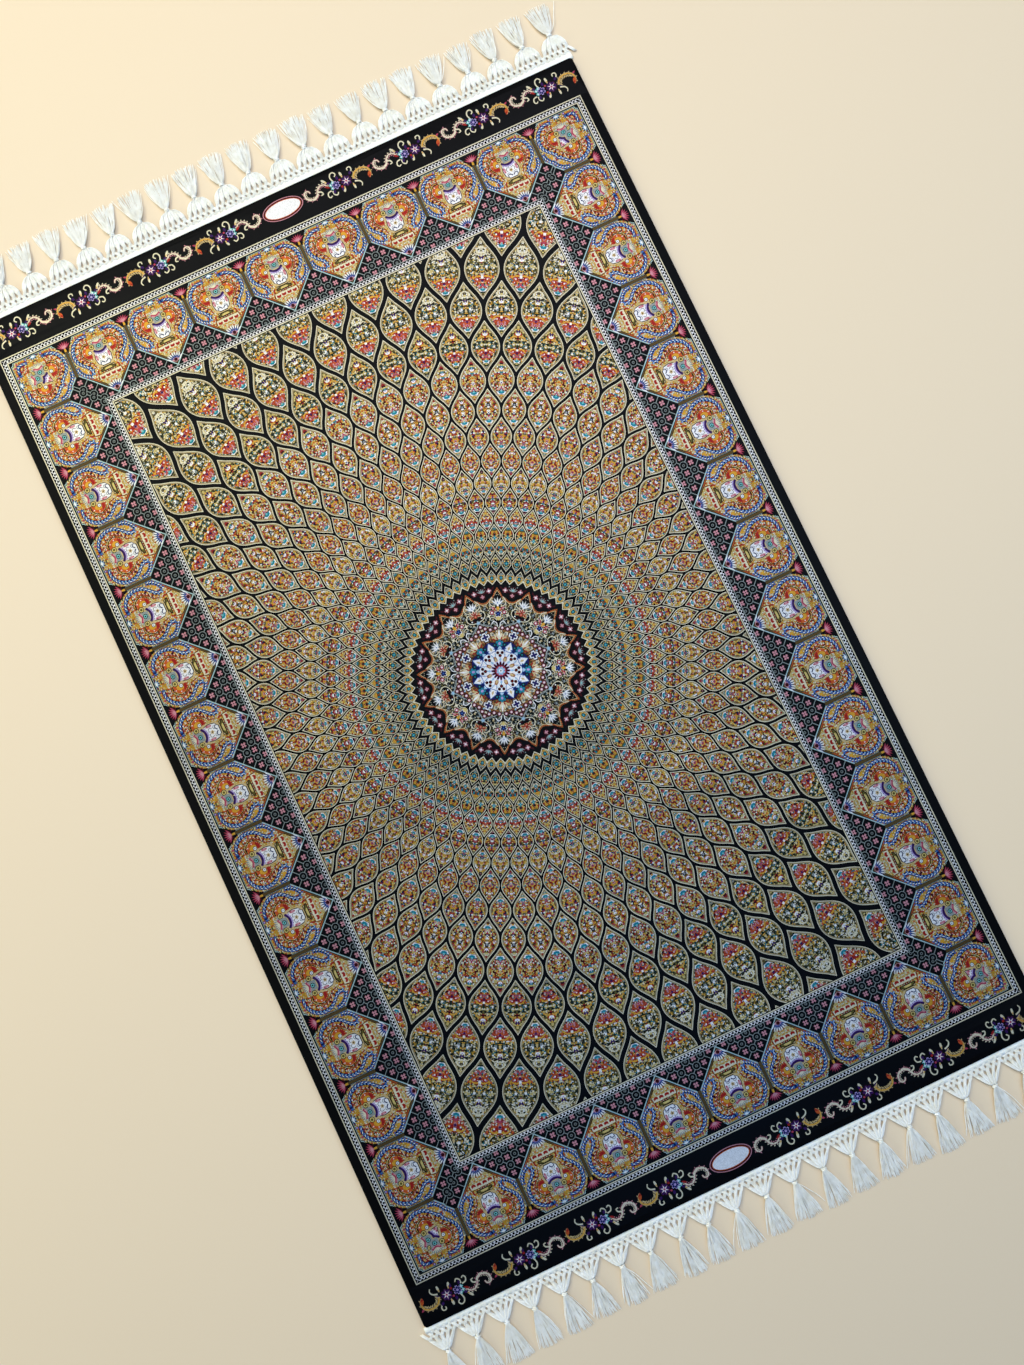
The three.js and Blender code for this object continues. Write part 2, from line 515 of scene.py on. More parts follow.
def inner_cell(pen):
    """Cells near the medallion, with one flower over a pink spray."""
    for side in pen.both():
        side.ovals(("red", 0.14, 0, 0.05), ("pink", 0.1, -0.2, 0.05), ("white", 0.08, 0.14, 0.035))
    pen.ovals(("purple", 0, 0.3, 0.05, 4, 0.07), ("red", 0, 0.08, 0.05), ("white", 0, -0.08, 0.05))
    foot_fan(pen, -0.35, 0.23)


def dotted_cell(pen):
    """Small cells with a pyramid of red dots over a teal flower."""
    pen.oval("red", 0, 0.24, 0.07)
    for side in pen.both():
        side.oval("red", 0.11, 0.06, 0.06)
    pen.rosette("teal", 0, -0.17, 0.17, 4, 0.5)
    pen.oval("aqua", 0, -0.15, 0.06)


def seed_cell(pen):
    """The smallest cells, with one teal flower."""
    pen.oval("forest", 0, -0.02, 0.22, 6, 0.27)
    pen.rosette("teal", 0, -0.02, 0.19, 4, 0.5)
    pen.oval("aqua", 0, -0.02, 0.06)


# The first ring of each filling, with the ground under it
FILLINGS = (
    (12, outer_cell, "meadow"), (11, second_cell, "meadow"), (6, middle_cell, "blossom"),
    (4, inner_cell, "blossom"), (2, dotted_cell, "spring"), (0, seed_cell, "spring"))


def cell_filling(ring):
    return next((filling, ground) for first, filling, ground in FILLINGS if ring >= first)


def draw_cells(chart):
    reach = math.hypot(FIELD_X, FIELD_Y)
    for ring in range(RINGS):
        radius = ring_radius(ring)
        width = radius * CELL_TURN
        line = 0.07 + 0.03 * max(0.0, radius - THIN_LINE) / (WIDE_LINE - THIN_LINE)
        steps = 5 if width < 16 else 6 if width < 25 else 8
        filling, ground = cell_filling(ring)
        offset = ring_offset(ring)
        for ray in range(RAYS):
            angle = (ray + offset) * CELL_TURN
            x, y = abs(radius * math.sin(angle)), abs(radius * math.cos(angle))
            if x - width > FIELD_X or y - 1.2 * width > FIELD_Y or radius - width > reach:
                continue
            pen = Pen(chart, cell_place(angle, radius))
            cell_frame(pen, width, line, steps, ground)
            filling(pen)


def field_motif(x, y):
    """Where points of the field lie in the nearest cell, in millimetres across it and along it."""
    reach = np.maximum(np.hypot(x, y), 1.0)
    angle = np.arctan2(x, y)
    best = np.full(len(x), 1e9)
    across, up = np.zeros(len(x)), np.zeros(len(x))
    for ring in range(RINGS):
        radius = ring_radius(ring)
        offset = ring_offset(ring)
        turn = angle / CELL_TURN - offset
        side = turn - np.round(turn)
        rise = np.log(reach / radius) / CELL_TURN
        away = np.abs(side) / 0.5 + np.abs(rise) / 0.9
        near = away < best
        best[near] = away[near]
        width = radius * CELL_TURN
        across[near] = (side * width)[near]
        up[near] = (rise * width + RING_SHIFT * ring)[near]
    within = reach < MEDALLION_REACH
    sixteenth = angle / (TAU / 16)
    across[within] = ((sixteenth - np.round(sixteenth)) * TAU / 16 * reach)[within]
    up[within] = reach[within]
    return across, up


# The medallion

def waved_ring(radius, wave, count, points, start):
    """A closed line that swings between two radii."""
    line = []
    for i in range(count * points):
        angle = start + TAU * i / (count * points)
        reach = radius + wave * math.cos(math.pi * 2 * i / points)
        line.append((reach * math.sin(angle), reach * math.cos(angle)))
    return line


def pointed_ring(tip, valley, count, rows):
    """A star outline: each point runs through rows of share of the half pitch and share of the height."""
    line = []
    for i in range(count):
        middle = TAU * i / count
        half = math.pi / count
        for share, height in rows:
            reach = valley + (tip - valley) * height
            angle = middle + half * share
            line.append((reach * math.sin(angle), reach * math.cos(angle)))
    return line


# Outlines of rings: share of the half pitch, and share of the height from valley to tip
ZIGZAG = [(0, 1), (1, 0)]
POINTS = [(-0.5, 0.35), (0, 1), (0.5, 0.35), (1, 0)]
STAR = [(-0.8, 0.04), (-0.55, 0.25), (-0.3, 0.4), (-0.18, 0.7), (0, 1), (0.18, 0.7), (0.3, 0.4),
        (0.55, 0.25), (0.8, 0.04), (1, 0)]
LOBES = [(-0.85, 0.2), (-0.6, 0.32), (-0.35, 0.65), (0, 1), (0.35, 0.65), (0.6, 0.32), (0.85, 0.2), (1, 0)]

# Beads of the middle star: degrees from the axis and radius
BEADS = ((0, 54.4), (-4.7, 50.6), (4.7, 50.6), (-10.8, 48.0), (10.8, 48.0), (-17.9, 48.8), (17.9, 48.8))


def lay_rings(flat, count, rows, *rings):
    """Rings of one outline, each with its dye, tip and valley."""
    for dye, tip, valley in rings:
        flat.fill(dye, pointed_ring(tip, valley, count, rows))


def draw_medallion(chart):
    """The medallion from its rim inwards."""
    flat = Pen(chart, lambda x, y: (x, y))
    axes, gaps = around(chart, 8), around(chart, 8, 0.5)
    draw_rim(flat, around(chart, 16, 0.5))
    draw_star(flat, around(chart, 16))
    for axis, gap in zip(axes, gaps):
        on_axis(axis)
        between_axes(gap)
    draw_bead_ring(chart, flat, axes, gaps)
    draw_blue_ring(flat, axes, gaps)
    draw_heart(flat, axes, gaps)


def draw_rim(flat, rims):
    """The dark rim between the points of the big star."""
    lay_rings(flat, RAYS, ZIGZAG, ("cream", 105.2, 99.6), ("night", 103.6, 98.2))
    for rim in rims:
        rim.fill("night", [(-15, 84), (15, 84), (16.5, 94), (0, 99.5), (-16.5, 94)])
    lay_rings(flat, 16, STAR, ("night", 99, 82))
    for rim in rims:
        rim.fans(("maroon", 0, 89.4, 8.6, 1.7, 150, 6), ("grey", 0, 90.2, 6, 0.8, 120, 5))
        rim.oval("aqua", 0, 92.2, 1, 6)
        rim.rosettes(("maroon", 0, 86.2, 3.7), ("pink", 0, 86.2, 2.3, 4, 0.45))
        for side in rim.both():
            side.rosettes(("maroon", 8.7, 91.4, 4.1), ("pink", 8.7, 91.4, 2.8, 4, 0.45))
            side.oval("white", 8.7, 91.4, 1.2, 6)
            side.blade("maroon", 12.6, 92, 4.4, 1.2, 40, KITE)
            side.oval("grey", 4.6, 96, 0.8)


def draw_star(flat, points):
    """The big star, with an orange edge and a white flower in each point."""
    lay_rings(flat, 16, STAR, ("night", 97, 80.4), ("bronze", 95.6, 79.4), ("sand", 92.4, 77.4),
              ("night", 91.2, 76.6))
    edge = pointed_ring(94.0, 78.3, 16, STAR)
    for x, y, _ in along(edge + edge[:1], 336):
        flat.oval("orange", x, y, 0.85, 5)
    lay_rings(flat, 16, STAR, ("dusk", 90.4, 76))
    for point in points:
        point.blade("night", 0, 73, 14, 5.6, 0)
        point.fans(("grey", 0, 75, 8.4, 0.8, 150, 6), ("white", 0, 75, 9.4, 0.85, 104, 5))
        point.blade("white", 0, 76.5, 4.6, 1.2, 180, KITE)
        point.oval("blue", 0, 77.4, 0.7, up=1.2)
        for side in point.both():
            side.bands(
                ("cream", spline([(6.2, 84), (9.2, 79.6), (8.4, 75.4), (5.2, 73.4)], 3), 0.9),
                ("sand", spline([(11.4, 77.4), (13.6, 74.6), (11, 71.4)], 3), 0.8))


def draw_bead_ring(chart, flat, axes, gaps):
    """The ring of beads on eight lobes, with a small flower on each axis and a flame between two."""
    lay_rings(flat, 8, LOBES, ("grey", 58.6, 47.8), ("night", 57.6, 46.9), ("clay", 56.8, 46.2))
    for i, (axis, flame) in enumerate(zip(axes, gaps)):
        for turn, radius in BEADS:
            bead = Pen(chart, turned(i * (TAU / 8) + math.radians(turn), radius))
            bead.ovals(("maroon", 0, 0, 3.1, 9), ("pink", 0, 0, 1.8, 6), ("white", 0, 0.2, 1.1))
        for side in axis.both():
            side.band("grey", spline([(1.8, 56.2), (4.8, 54.6), (8, 51.6), (12.6, 51.4)], 3), 0.8)
            side.oval("sky", 3.6, 46.6, 1.2)
        axis.rosettes(
            ("maroon", 0, 41.6, 6.4, 4, 0.62), ("white", 0, 41.6, 5.4, 4), ("navy", 0, 41.6, 4, 4, 0.4))
        axis.oval("purple", 0, 41.6, 0.9, 6)
        flame.fans(("sand", 0, 35, 10.6, 1.3, 130, 6), ("cream", 0, 36, 9.4, 1, 104, 5))
        flame.blade("white", 0, 38, 9, 1.2, 0, LEAF)
        for side in flame.both():
            side.blades(("red", 1.2, 34.4, 6.6, 0.9, 26, KITE), ("red", 3.4, 34, 6.4, 0.9, 62, KITE))
            side.ovals(("grey", 7.2, 41.4, 1.7, 6), ("olive", 7.2, 41.4, 0.8))


def draw_blue_ring(flat, axes, gaps):
    """The blue ring, with teal flowers and the points of the white petals."""
    lay_rings(flat, 8, POINTS, ("maroon", 35.4, 32.4), ("navy", 34.6, 31.6))
    for axis, gap in zip(axes, gaps):
        gap.rosette("teal", 0, 31.6, 4.4)
        gap.oval("lilac", 0, 31, 1.5, 6, 1.9)
        for side in gap.both():
            side.rosette("forest", 5.6, 29.4, 2.6)
            side.oval("teal", 5.6, 29.4, 1.1)
        gap.blades(("sky", 0, 22, 6.4, 2.4, 0, LEAF), ("white", 0, 22, 4.6, 1.4, 0, KITE))
        axis.blades(
            ("blue", 0, 17, 17.6, 5, 0, LEAF), ("white", 0, 17, 16.6, 4.3, 0, LEAF),
            ("sand", 0, 24, 5.6, 1.4, 0, KITE))
        for side in axis.both():
            side.oval("blue", 3.2, 25.4, 0.9)


def draw_heart(flat, axes, gaps):
    """The white middle, with its blue lines, maroon berries and rose heart."""
    flat.fills(
        ("blue", waved_ring(24.2, 1.2, 8, 4, TAU / 16)), ("white", waved_ring(23.4, 1.2, 8, 4, TAU / 16)))
    for axis, gap in zip(axes, gaps):
        gap.blade("blue", 0, 10, 8, 0.5, 0)
        gap.ovals(("maroon", 0, 17.4, 2.1, 6), ("red", 0, 17.4, 0.7))
        for side in gap.both():
            side.band("blue", spline([(3.2, 12.8), (5.6, 17), (5.2, 22.6)], 3), 0.6)
            side.ovals(("maroon", 2.5, 20.6, 2, 6), ("sky", 4.9, 18.4, 1), ("blue", 4.6, 22.6, 0.8))
        gap.blade("sky", 0, 10.5, 5, 1.4, 0, KITE)
        axis.blades(("tan", 0, 9, 8.4, 2.1, 0), ("sand", 0, 9, 6.6, 1.3, 0))
    flat.rosettes(("lilac", 0, 0, 11.2, 16, 0.7), ("maroon", 0, 0, 10.4, 16, 0.66))
    flat.oval("rose", 0, 0, 6, 16)
    flat.rosette("sky", 0, 0, 5, 8, 0.7)
    flat.ovals(("white", 0, 0, 2.4, 8), ("maroon", 0, 0, 0.9, 6))


def on_axis(pen):
    """The red palmette on each of the medallion's eight axes, with pale scrolls round it."""
    pen.oval("night", 0, 67, 11, 10, 7)
    for side in pen.both():
        side.bands(
            ("cream", spline([(0.5, 60.4), (5, 60.6), (9.5, 63), (11, 67), (8.4, 71), (5.2, 71.6)]), 0.9),
            ("grey", spline([(9, 61.4), (13, 60), (14.6, 56.4)]), 0.8))
        side.blades(
            ("sand", 1, 65.8, 7.2, 1.9, 52), ("red", 1, 66, 6.2, 1.2, 52),
            ("sand", 1.4, 69.4, 6.8, 1.7, 124), ("red", 1.4, 69.4, 5.8, 1, 124))
        side.ovals(("white", 6, 63.4, 1), ("grey", 7.4, 68.4, 1.2), ("maroon", 3.6, 62.6, 1.3, 6))
        side.stars(
            ("night", 14.2, 62, 4.4, 4, 0.6), ("cream", 14.2, 62, 3.6, 4, 0.35),
            ("night", 13.2, 71.4, 3, 4, 0.6), ("grey", 13.2, 71.4, 2.4, 4, 0.35))
    pen.fans(("cream", 0, 68.2, 7, 1.5, 76, 3, PETAL), ("red", 0, 68.4, 5.8, 0.9, 76, 3, PETAL))
    pen.rosettes(("maroon", 0, 67.4, 2.8, 6, 0.62), ("orange", 0, 67.4, 1.9, 6, 0.62))
    pen.oval("pink", 0, 67.4, 0.8)
    pen.rosettes(("grey", 0, 59.4, 3, 5, 0.62), ("sky", 0, 59.4, 2, 5, 0.62))


def between_axes(pen):
    """The navy and yellow flower between two axes, on its stem."""
    pen.blade("night", 0, 50, 12, 5, 0)
    for side in pen.both():
        side.bands(
            ("white", spline([(1.4, 49.5), (2.2, 54.5), (5.6, 56.4), (8, 53.2)]), 1),
            ("cream", spline([(1.6, 57.5), (4.6, 60.5), (8.6, 60.6), (9.8, 57.6)], 3), 0.8))
        side.rosette("rose", 7, 66.4, 2.6, valley=0.62)
        side.oval("white", 7, 66.4, 1.1, 6)
        side.blades(("red", 2.4, 68, 6.2, 1.4, 34), ("pink", 3.8, 70.2, 5.4, 1, 62, KITE))
        side.oval("sand", 4.6, 62.4, 1.1)
    pen.fan("straw", 0, 57.4, 5.4, 1.3, 56, 3, PETAL)
    pen.rosettes(("white", 0, 65, 4.3, 5, 0.62), ("navy", 0, 65, 3.6, 5, 0.62))
    pen.oval("blue", 0, 65, 1, 6)
    pen.blade("gold", 0, 67.6, 6.2, 1.7, 0)


# The border: cartouches with a vase between columns, and a lattice behind their points

# Rows of a guard stripe: dye, start and end, and how deep its triangles and diamonds lie
OUTER_GUARD = ((("cream", 0.0, 1.1), ("white", 1.9, 6.1), ("cream", 6.8, 8.0)), 1.9, 4.6)
INNER_GUARD = ((("grey", 0.0, 0.9), ("white", 1.6, 5.6), ("cream", 6.3, 7.5)), 1.5, 4.1)
GUARD_STEP = 4.2


def guard(pen, length, depth, make):
    """A guard stripe: pale lines and a cream band with small dark diamonds."""
    half = length / 2
    rows, top, middle = make
    top, middle = depth + top, depth + middle
    for dye, start, end in rows:
        start, end = depth + start, depth + end
        pen.fill(dye, [(-half, start), (half, start), (half, end), (-half, end)])
    count = int(length / GUARD_STEP)
    for i in range(count):
        x = (i + 0.5 - count / 2) * length / count
        pen.fill("night", [(x - 1.8, middle), (x, middle - 1.6), (x + 1.8, middle), (x, middle + 1.6)])
        x += GUARD_STEP / 2
        pen.fill("night", [(x - 2.0, top), (x + 2.0, top), (x, top + 2.1)])


LATTICE_STEP = 9.26
LATTICE_DROP = 9.2
LATTICE_TOP = 54.3
DEPTH = INNER_GUARD_DEPTH - GUARD_WIDTH
HALF_TILE = 37


def draw_lattice(pen):
    """Black ground under two points, with pale diagonals, pink crossings and ringed rosettes."""
    pen.fill("night", [(0, 44), (42, DEPTH + 2), (-42, DEPTH + 2)])
    for row in range(-1, 4):
        y = LATTICE_TOP + LATTICE_DROP * row
        for column in range(-row - 1, row + 2, 2):
            x = column * LATTICE_STEP
            for side in (-1, 1):
                far = (x + side * LATTICE_STEP, y + LATTICE_DROP)
                pen.band("grey", [(x, y), far], 0.75)
    for row in range(4):
        y = LATTICE_TOP + LATTICE_DROP * row
        for column in range(-row, row + 1):
            x = column * LATTICE_STEP
            if (row + column) % 2 == 0:
                pen.rosettes(
                    ("night", x, y, 4, 4, 0.6, math.pi / 4), ("pink", x, y, 3.3, 4, 0.4, math.pi / 4))
                pen.oval("maroon", x, y, 0.9)
            else:
                pen.ovals(
                    ("grey", x, y, 4.7, 10), ("night", x, y, 4.1, 10), ("steel", x, y, 1.7, 6),
                    ("night", x, y, 1))


def draw_niche(pen):
    """The black niche and column between two cartouches, with a pink palmette over it."""
    pen.fills(
        ("night", [(-12.5, 0), (12.5, 0), (9, 6), (4.5, 12), (3.2, 16), (-3.2, 16), (-4.5, 12), (-9, 6)]),
        ("night", [(-2.1, 12), (2.1, 12), (2.1, 47), (-2.1, 47)]),
        ("bronze", [(-1.6, 12), (1.6, 12), (1.6, 47), (-1.6, 47)]),
        ("gold", [(-0.9, 5), (0.9, 5), (1.1, 14), (-1.1, 14)]))
    pen.fans(
        ("maroon", 0, 10.4, 10.2, 1.5, -118, 7, LEAF, 180),
        ("rose", 0, 10.4, 9.4, 0.9, -112, 7, LEAF, 180), ("pink", 0, 10, 6, 0.6, -96, 5, KITE, 180))
    for side in pen.both():
        side.blade("maroon", 1.2, 9.4, 5.4, 1, 64, KITE)


SHOULDER = [(24.5, 0.6), (25.5, 3.0), (29.0, 4.2), (30.0, 7.2), (33.0, 8.8), (34.0, 13.0)]


def cartouche(inset, side_inset):
    """A cartouche's outline: stepped shoulders, straight sides and a long point."""
    right = [(x - side_inset, y + 0.6 * side_inset) for x, y in SHOULDER]
    right += [(35.4 - side_inset, 15), (35.4 - side_inset, 46.8 - 0.9 * inset)]
    return right + [(0, 83.4 - 1.41 * inset)] + [(-x, y) for x, y in reversed(right)]


C_BAND = [(9.7, 12.6), (15.2, 11.4), (21.2, 14.2), (25.4, 20.4), (26.2, 27), (23.8, 33.2), (19.4, 38.0),
          (15.6, 42.0), (14.0, 47.0)]
C_HEART = [(10.2, 17.4), (16.0, 17.6), (20.4, 21.2), (21.8, 26.5), (19.8, 31.6), (16.4, 35.2)]
GARLAND = [(9.0, 7.6), (16, 6.8), (24, 10.0), (29.4, 16.6), (31.2, 24.6), (29.8, 31.6), (25.4, 37.4),
           (20.8, 42.0), (18.0, 47.4), (19.2, 52.6)]
LEAF_LOOP = [(33.2, 38.0), (31.4, 44.8), (27.4, 50.0), (21.8, 53.4)]
VASE = [(8.0, 31), (9.2, 37), (8.0, 43.5), (4, 46.6)]

# Dye of each layer, and how far it is drawn in at the point and at the sides
CARTOUCHE_LAYERS = (
    ("mist", 0.0, 0.0), ("night", 1.1, 0.8), ("bronze", 1.8, 1.0), ("night", 3.6, 1.1), ("sun", 4.2, 1.4))


def mirror_shape(points):
    return points + [(-x, y) for x, y in reversed(points)]


def draw_cartouche(pen):
    """A yellow cartouche: a vase between two red scrolls, with blue garlands round them."""
    for dye, inset, side_inset in CARTOUCHE_LAYERS:
        pen.fill(dye, cartouche(inset, side_inset))
    for side in pen.both():
        side.fill("orange", [(33.6, 47), (33.8, 43.6), (27, 52), (16, 61.6), (14, 64.6)])
        side.fan("gold", 16.6, 6.6, 6.2, 1.6, 70, 3)
        side.ovals(
            ("orange", 16.4, 4.2, 1.2), ("purple", 9.4, 2.8, 1.9, 6), ("lilac", 9.4, 2.8, 1.2),
            ("rose", 20.8, 4, 1.5, 6))
        side.blade("red", 12.2, 6.2, 4, 1, 200, KITE)
        blue = spline(GARLAND, 3)
        side.bands(("night", blue, 5, 4.4), ("navy", blue, 4, 3.4))
        side.garlands(
            ("navy", blue, 16, 4.2, 1.1, 46, 0.02, 0.98), ("blue", blue, 16, 4.2, 1.25, -44, 0, 0.96),
            ("blue", blue, 16, 3.6, 1.1, 34, 0, 0.96), ("sky", blue, 16, 3.6, 0.6, -46, 0.02, 0.96),
            ("white", blue, 16, 3.6, 0.6, 22, 0.03, 0.98))
        loop = spline(LEAF_LOOP, 3)
        side.band("night", loop, 4.2, 3.6)
        side.garlands(
            ("blue", loop, 7, 3.6, 1.1, 60), ("blue", loop, 7, 3.4, 1.1, -60),
            ("white", loop, 7, 3.2, 0.6, 20, 0.05))
        hoop = spline(C_BAND, 3)
        side.bands(("night", hoop, 8.2, 4.4), ("ember", hoop, 7, 3.2))
        side.garlands(
            ("orange", hoop, 12, 3.8, 0.9, -62, 0, 0.94), ("gold", hoop, 12, 3, 0.9, 62, 0.04, 0.94),
            ("maroon", hoop, 11, 3.2, 0.4, -50, 0.03, 0.94),
            ("cream", hoop, 11, 2.8, 0.6, -24, 0.04, 0.95))
        side.fills(
            ("orange", [
                (9.5, 18), (15.8, 18.4), (19.6, 21.8), (20.8, 26.5), (19, 31), (16, 34.4), (11.4, 34)]),
            ("gold", [(11, 22), (15, 21.4), (17.4, 25), (16, 30), (12.4, 31.4)]))
        side.band("night", spline(C_HEART, 3), 1.1, 0.8)
        side.fan("red", 14.4, 29.6, 6.6, 1, 130, 5, heading=10)
        side.ovals(("white", 15.8, 20, 0.8), ("white", 18.6, 25.4, 0.8), ("straw", 14, 29, 1))
        side.band("red", spline([(11.4, 50), (13.2, 53.4), (12.4, 57)], 3), 2, 1.2)
        side.ovals(
            ("orange", 16, 54.4, 1.5, 6), ("white", 13, 49.6, 0.8), ("gold", 25.2, 46, 1.6, 6, 2.6))
    pen.fills(
        ("maroon", [(-14, 55), (14, 55), (14.6, 63.4), (0, 77.6), (-14.6, 63.4)]),
        ("glow", [(-13.4, 55.6), (13.4, 55.6), (14, 63.2), (0, 76.8), (-14, 63.2)]),
        ("cream", [(-13.4, 56.2), (13.4, 56.2), (13.8, 61.6), (-13.8, 61.6)]))
    for side in pen.both():
        side.fans(
            ("red", 3.4, 61.2, 4.4, 1.6, 66, 2, LEAF, 180),
            ("red", 10, 61.6, 4.4, 1.6, 66, 2, LEAF, 184))
        side.ovals(("orange", 6.6, 64.4, 1.3), ("red", 3, 67.6, 1.1))
    pen.fans(
        ("navy", 0, 1.6, 6.6, 1.1, 150, 5), ("sky", 0, 1.6, 5.2, 0.7, 130, 4),
        ("white", 0, 1.4, 3.6, 0.8, 90, 3))
    draw_vase(pen)
    pen.fans(
        ("white", 0, 78.6, 12.4, 1.3, 116, 8, KITE, 180),
        ("navy", 0, 78.6, 11.6, 1.1, 102, 7, KITE, 180), ("blue", 0, 78.6, 9.4, 0.6, 102, 7, KITE, 180),
        ("pink", 0, 78.8, 6, 1.1, 100, 5, KITE, 180))
    pen.oval("maroon", 0, 76.2, 2.2, 8)


def draw_vase(pen):
    """The vase in the middle of a cartouche, from its crown of feathers to its foot."""
    pen.fill("sand", mirror_shape([(9.5, 20), (11.4, 27), (10.4, 46), (5, 49)]))
    pen.fans(("grey", 0, 21, 11, 1.2, 128, 9, KITE, 180), ("cream", 0, 21, 9.6, 0.8, 112, 8, KITE, 180))
    pen.bands(
        ("rose", spline([(-5.6, 17), (0, 19.4), (5.6, 17)], 4), 2.6),
        ("pink", spline([(-4.6, 18.4), (0, 20.6), (4.6, 18.4)], 4), 1.2))
    pen.fill("grey", [(-5.4, 20.4), (5.4, 20.4), (5, 27.5), (-5, 27.5)])
    pen.oval("night", 0, 23, 2.9, 8)
    pen.rosette("aqua", 0, 23, 2.2, 6, 0.62)
    pen.oval("forest", 0, 23, 1, 6)
    for side in pen.both():
        side.ovals(
            ("night", 8.4, 21.6, 3.4, 8), ("straw", 8.4, 21.6, 2.6, 8), ("olive", 8.4, 21.6, 1.6, 6),
            ("forest", 12.6, 27.4, 2.5, 8), ("white", 12.6, 27.4, 1.9, 6), ("grey", 12.6, 27.4, 0.9))
    pen.fills(
        ("night", mirror_shape([(x + 0.9, y) for x, y in VASE] + [(5.2, 47.6)])),
        ("white", mirror_shape(VASE)))
    pen.bands(
        ("purple", spline([(-7.8, 26.6), (-4.5, 29.4), (0, 30.2), (4.5, 29.4), (7.8, 26.6)], 3), 2.9),
        ("lilac", spline([(-7.6, 29.6), (-4, 31.6), (0, 32.4), (4, 31.6), (7.6, 29.6)], 2), 1.5))
    pen.beads("purple", [(-6.6, 31.6), (0, 33.6), (6.6, 31.6)], 6, 0.6)
    for side in pen.both():
        side.ovals(("pink", 7.4, 36, 1.6, 8, 3.8), ("rose", 7.8, 34.4, 1), ("rose", 7.4, 38.6, 1))
        side.band("navy", spline([(0.6, 44.6), (3.2, 42.4), (6, 43.2), (5.2, 45.2)], 3), 1.3, 0.8)
        side.ovals(("night", 6.6, 50.4, 2.3, 8), ("sand", 6.6, 50.4, 1.6, 6))
        side.bands(
            ("night", spline([(0.8, 35.2), (3.4, 34.2), (5.2, 36.2), (4, 38.8)], 3), 0.6),
            ("steel", spline([(2.2, 41.6), (4.6, 40.2), (6.4, 42)], 3), 0.7))
    pen.rosette("sand", 0, 38, 2.4, valley=0.62)
    pen.oval("maroon", 0, 38, 1)
    pen.fills(
        ("night", mirror_shape([(4.6, 48.6), (9.4, 51.6), (9.4, 53.8)])),
        ("olive", mirror_shape([(4.2, 49.6), (8.4, 52), (8.4, 53)])),
        ("straw", mirror_shape([(2.6, 50.4), (4.4, 51.4), (4.4, 52.6)])))


def side_place(turn, outer, middle):
    """A place on a side of the border: x along the side, y inwards from the outer guard's edge."""
    sin, cos = math.sin(turn), math.cos(turn)

    def place(x, y):
        reach = outer - y
        shift = middle + x
        return shift * cos + reach * sin, reach * cos - shift * sin
    return place


def draw_border_side(chart, turn, outer, length, tiles):
    """One side of the border. Its ends run on past the mitres, where the region's outline cuts them."""
    whole = Pen(chart, side_place(turn, outer, 0))
    pitch = length / tiles
    stretch = pitch / (2 * HALF_TILE)
    for motif, count in ((draw_lattice, tiles + 1), (draw_cartouche, tiles), (draw_niche, tiles + 1)):
        for i in range(count):
            base = side_place(turn, outer, (i - (count - 1) / 2) * pitch)
            motif(Pen(chart, lambda x, y, base=base: base(x * stretch, GUARD_WIDTH + y)))
    for start, end in ((0, GUARD_WIDTH), (INNER_GUARD_DEPTH, BORDER_DEPTH)):
        whole.fill("night", [(-length, start), (length, start), (length, end), (-length, end)])
    guard(whole, length, 0, OUTER_GUARD)
    guard(whole, length - 2 * INNER_GUARD_DEPTH, INNER_GUARD_DEPTH, INNER_GUARD)


def border_motif(turn, outer, pitch, tiles):
    """Finds where points of a side lie in their tile of the border."""
    sin, cos = math.sin(turn), math.cos(turn)

    def motif(x, y):
        shift = (x * cos - y * sin) / pitch - (tiles + 1) / 2
        reach = x * sin + y * cos
        return (shift - np.round(shift)) * pitch, outer - reach
    return motif


# The end bands: scrolls and flowers on black, with a bare oval in the middle

BAND_MIDDLE = 594
UNITS = 4
UNIT_PITCH = 88
FIRST_UNIT = 28.3


CURLS = (
    ("cream", [(38, 4.1), (36.2, 9.9), (37.8, 14), (41.3, 14.9), (43.5, 11.8), (41.3, 9.3)], 1.5, 1.3),
    ("cream", [(59.5, 5.0), (63.0, 9.4), (62.2, 12.9), (58.7, 12.6), (58.6, 9.9)], 1.5, 1.2),
    ("cream", [(31.8, -4.6), (27.4, -5.6), (26.0, -9.6), (28.1, -11.8), (30.2, -10.3)], 1.5, 1.2),
    ("cream", [(33.0, -5.4), (33.2, -9.9), (36.4, -11.9), (38.5, -9.2)], 1.6, 1.2),
    ("cream", [(61.2, -5.4), (66.1, -7.2), (68.3, -10.7), (66.9, -13.9)], 1.8, 1.0),
)
BUDS = (
    (30.8, 5.6, 8.6, 1.4, -40), (49.6, 5.0, 7.4, 1.5, -6), (47.9, -6.0, 7.2, 1.5, 200),
    (58.4, -6.6, 7.4, 1.3, 174))
PURPLE_LEAVES = (
    (34, 3, -50), (43, 4, 10), (46, -5.4, 200), (58, 4.6, 50), (60.6, -2.4, 110), (36, -5, 210))


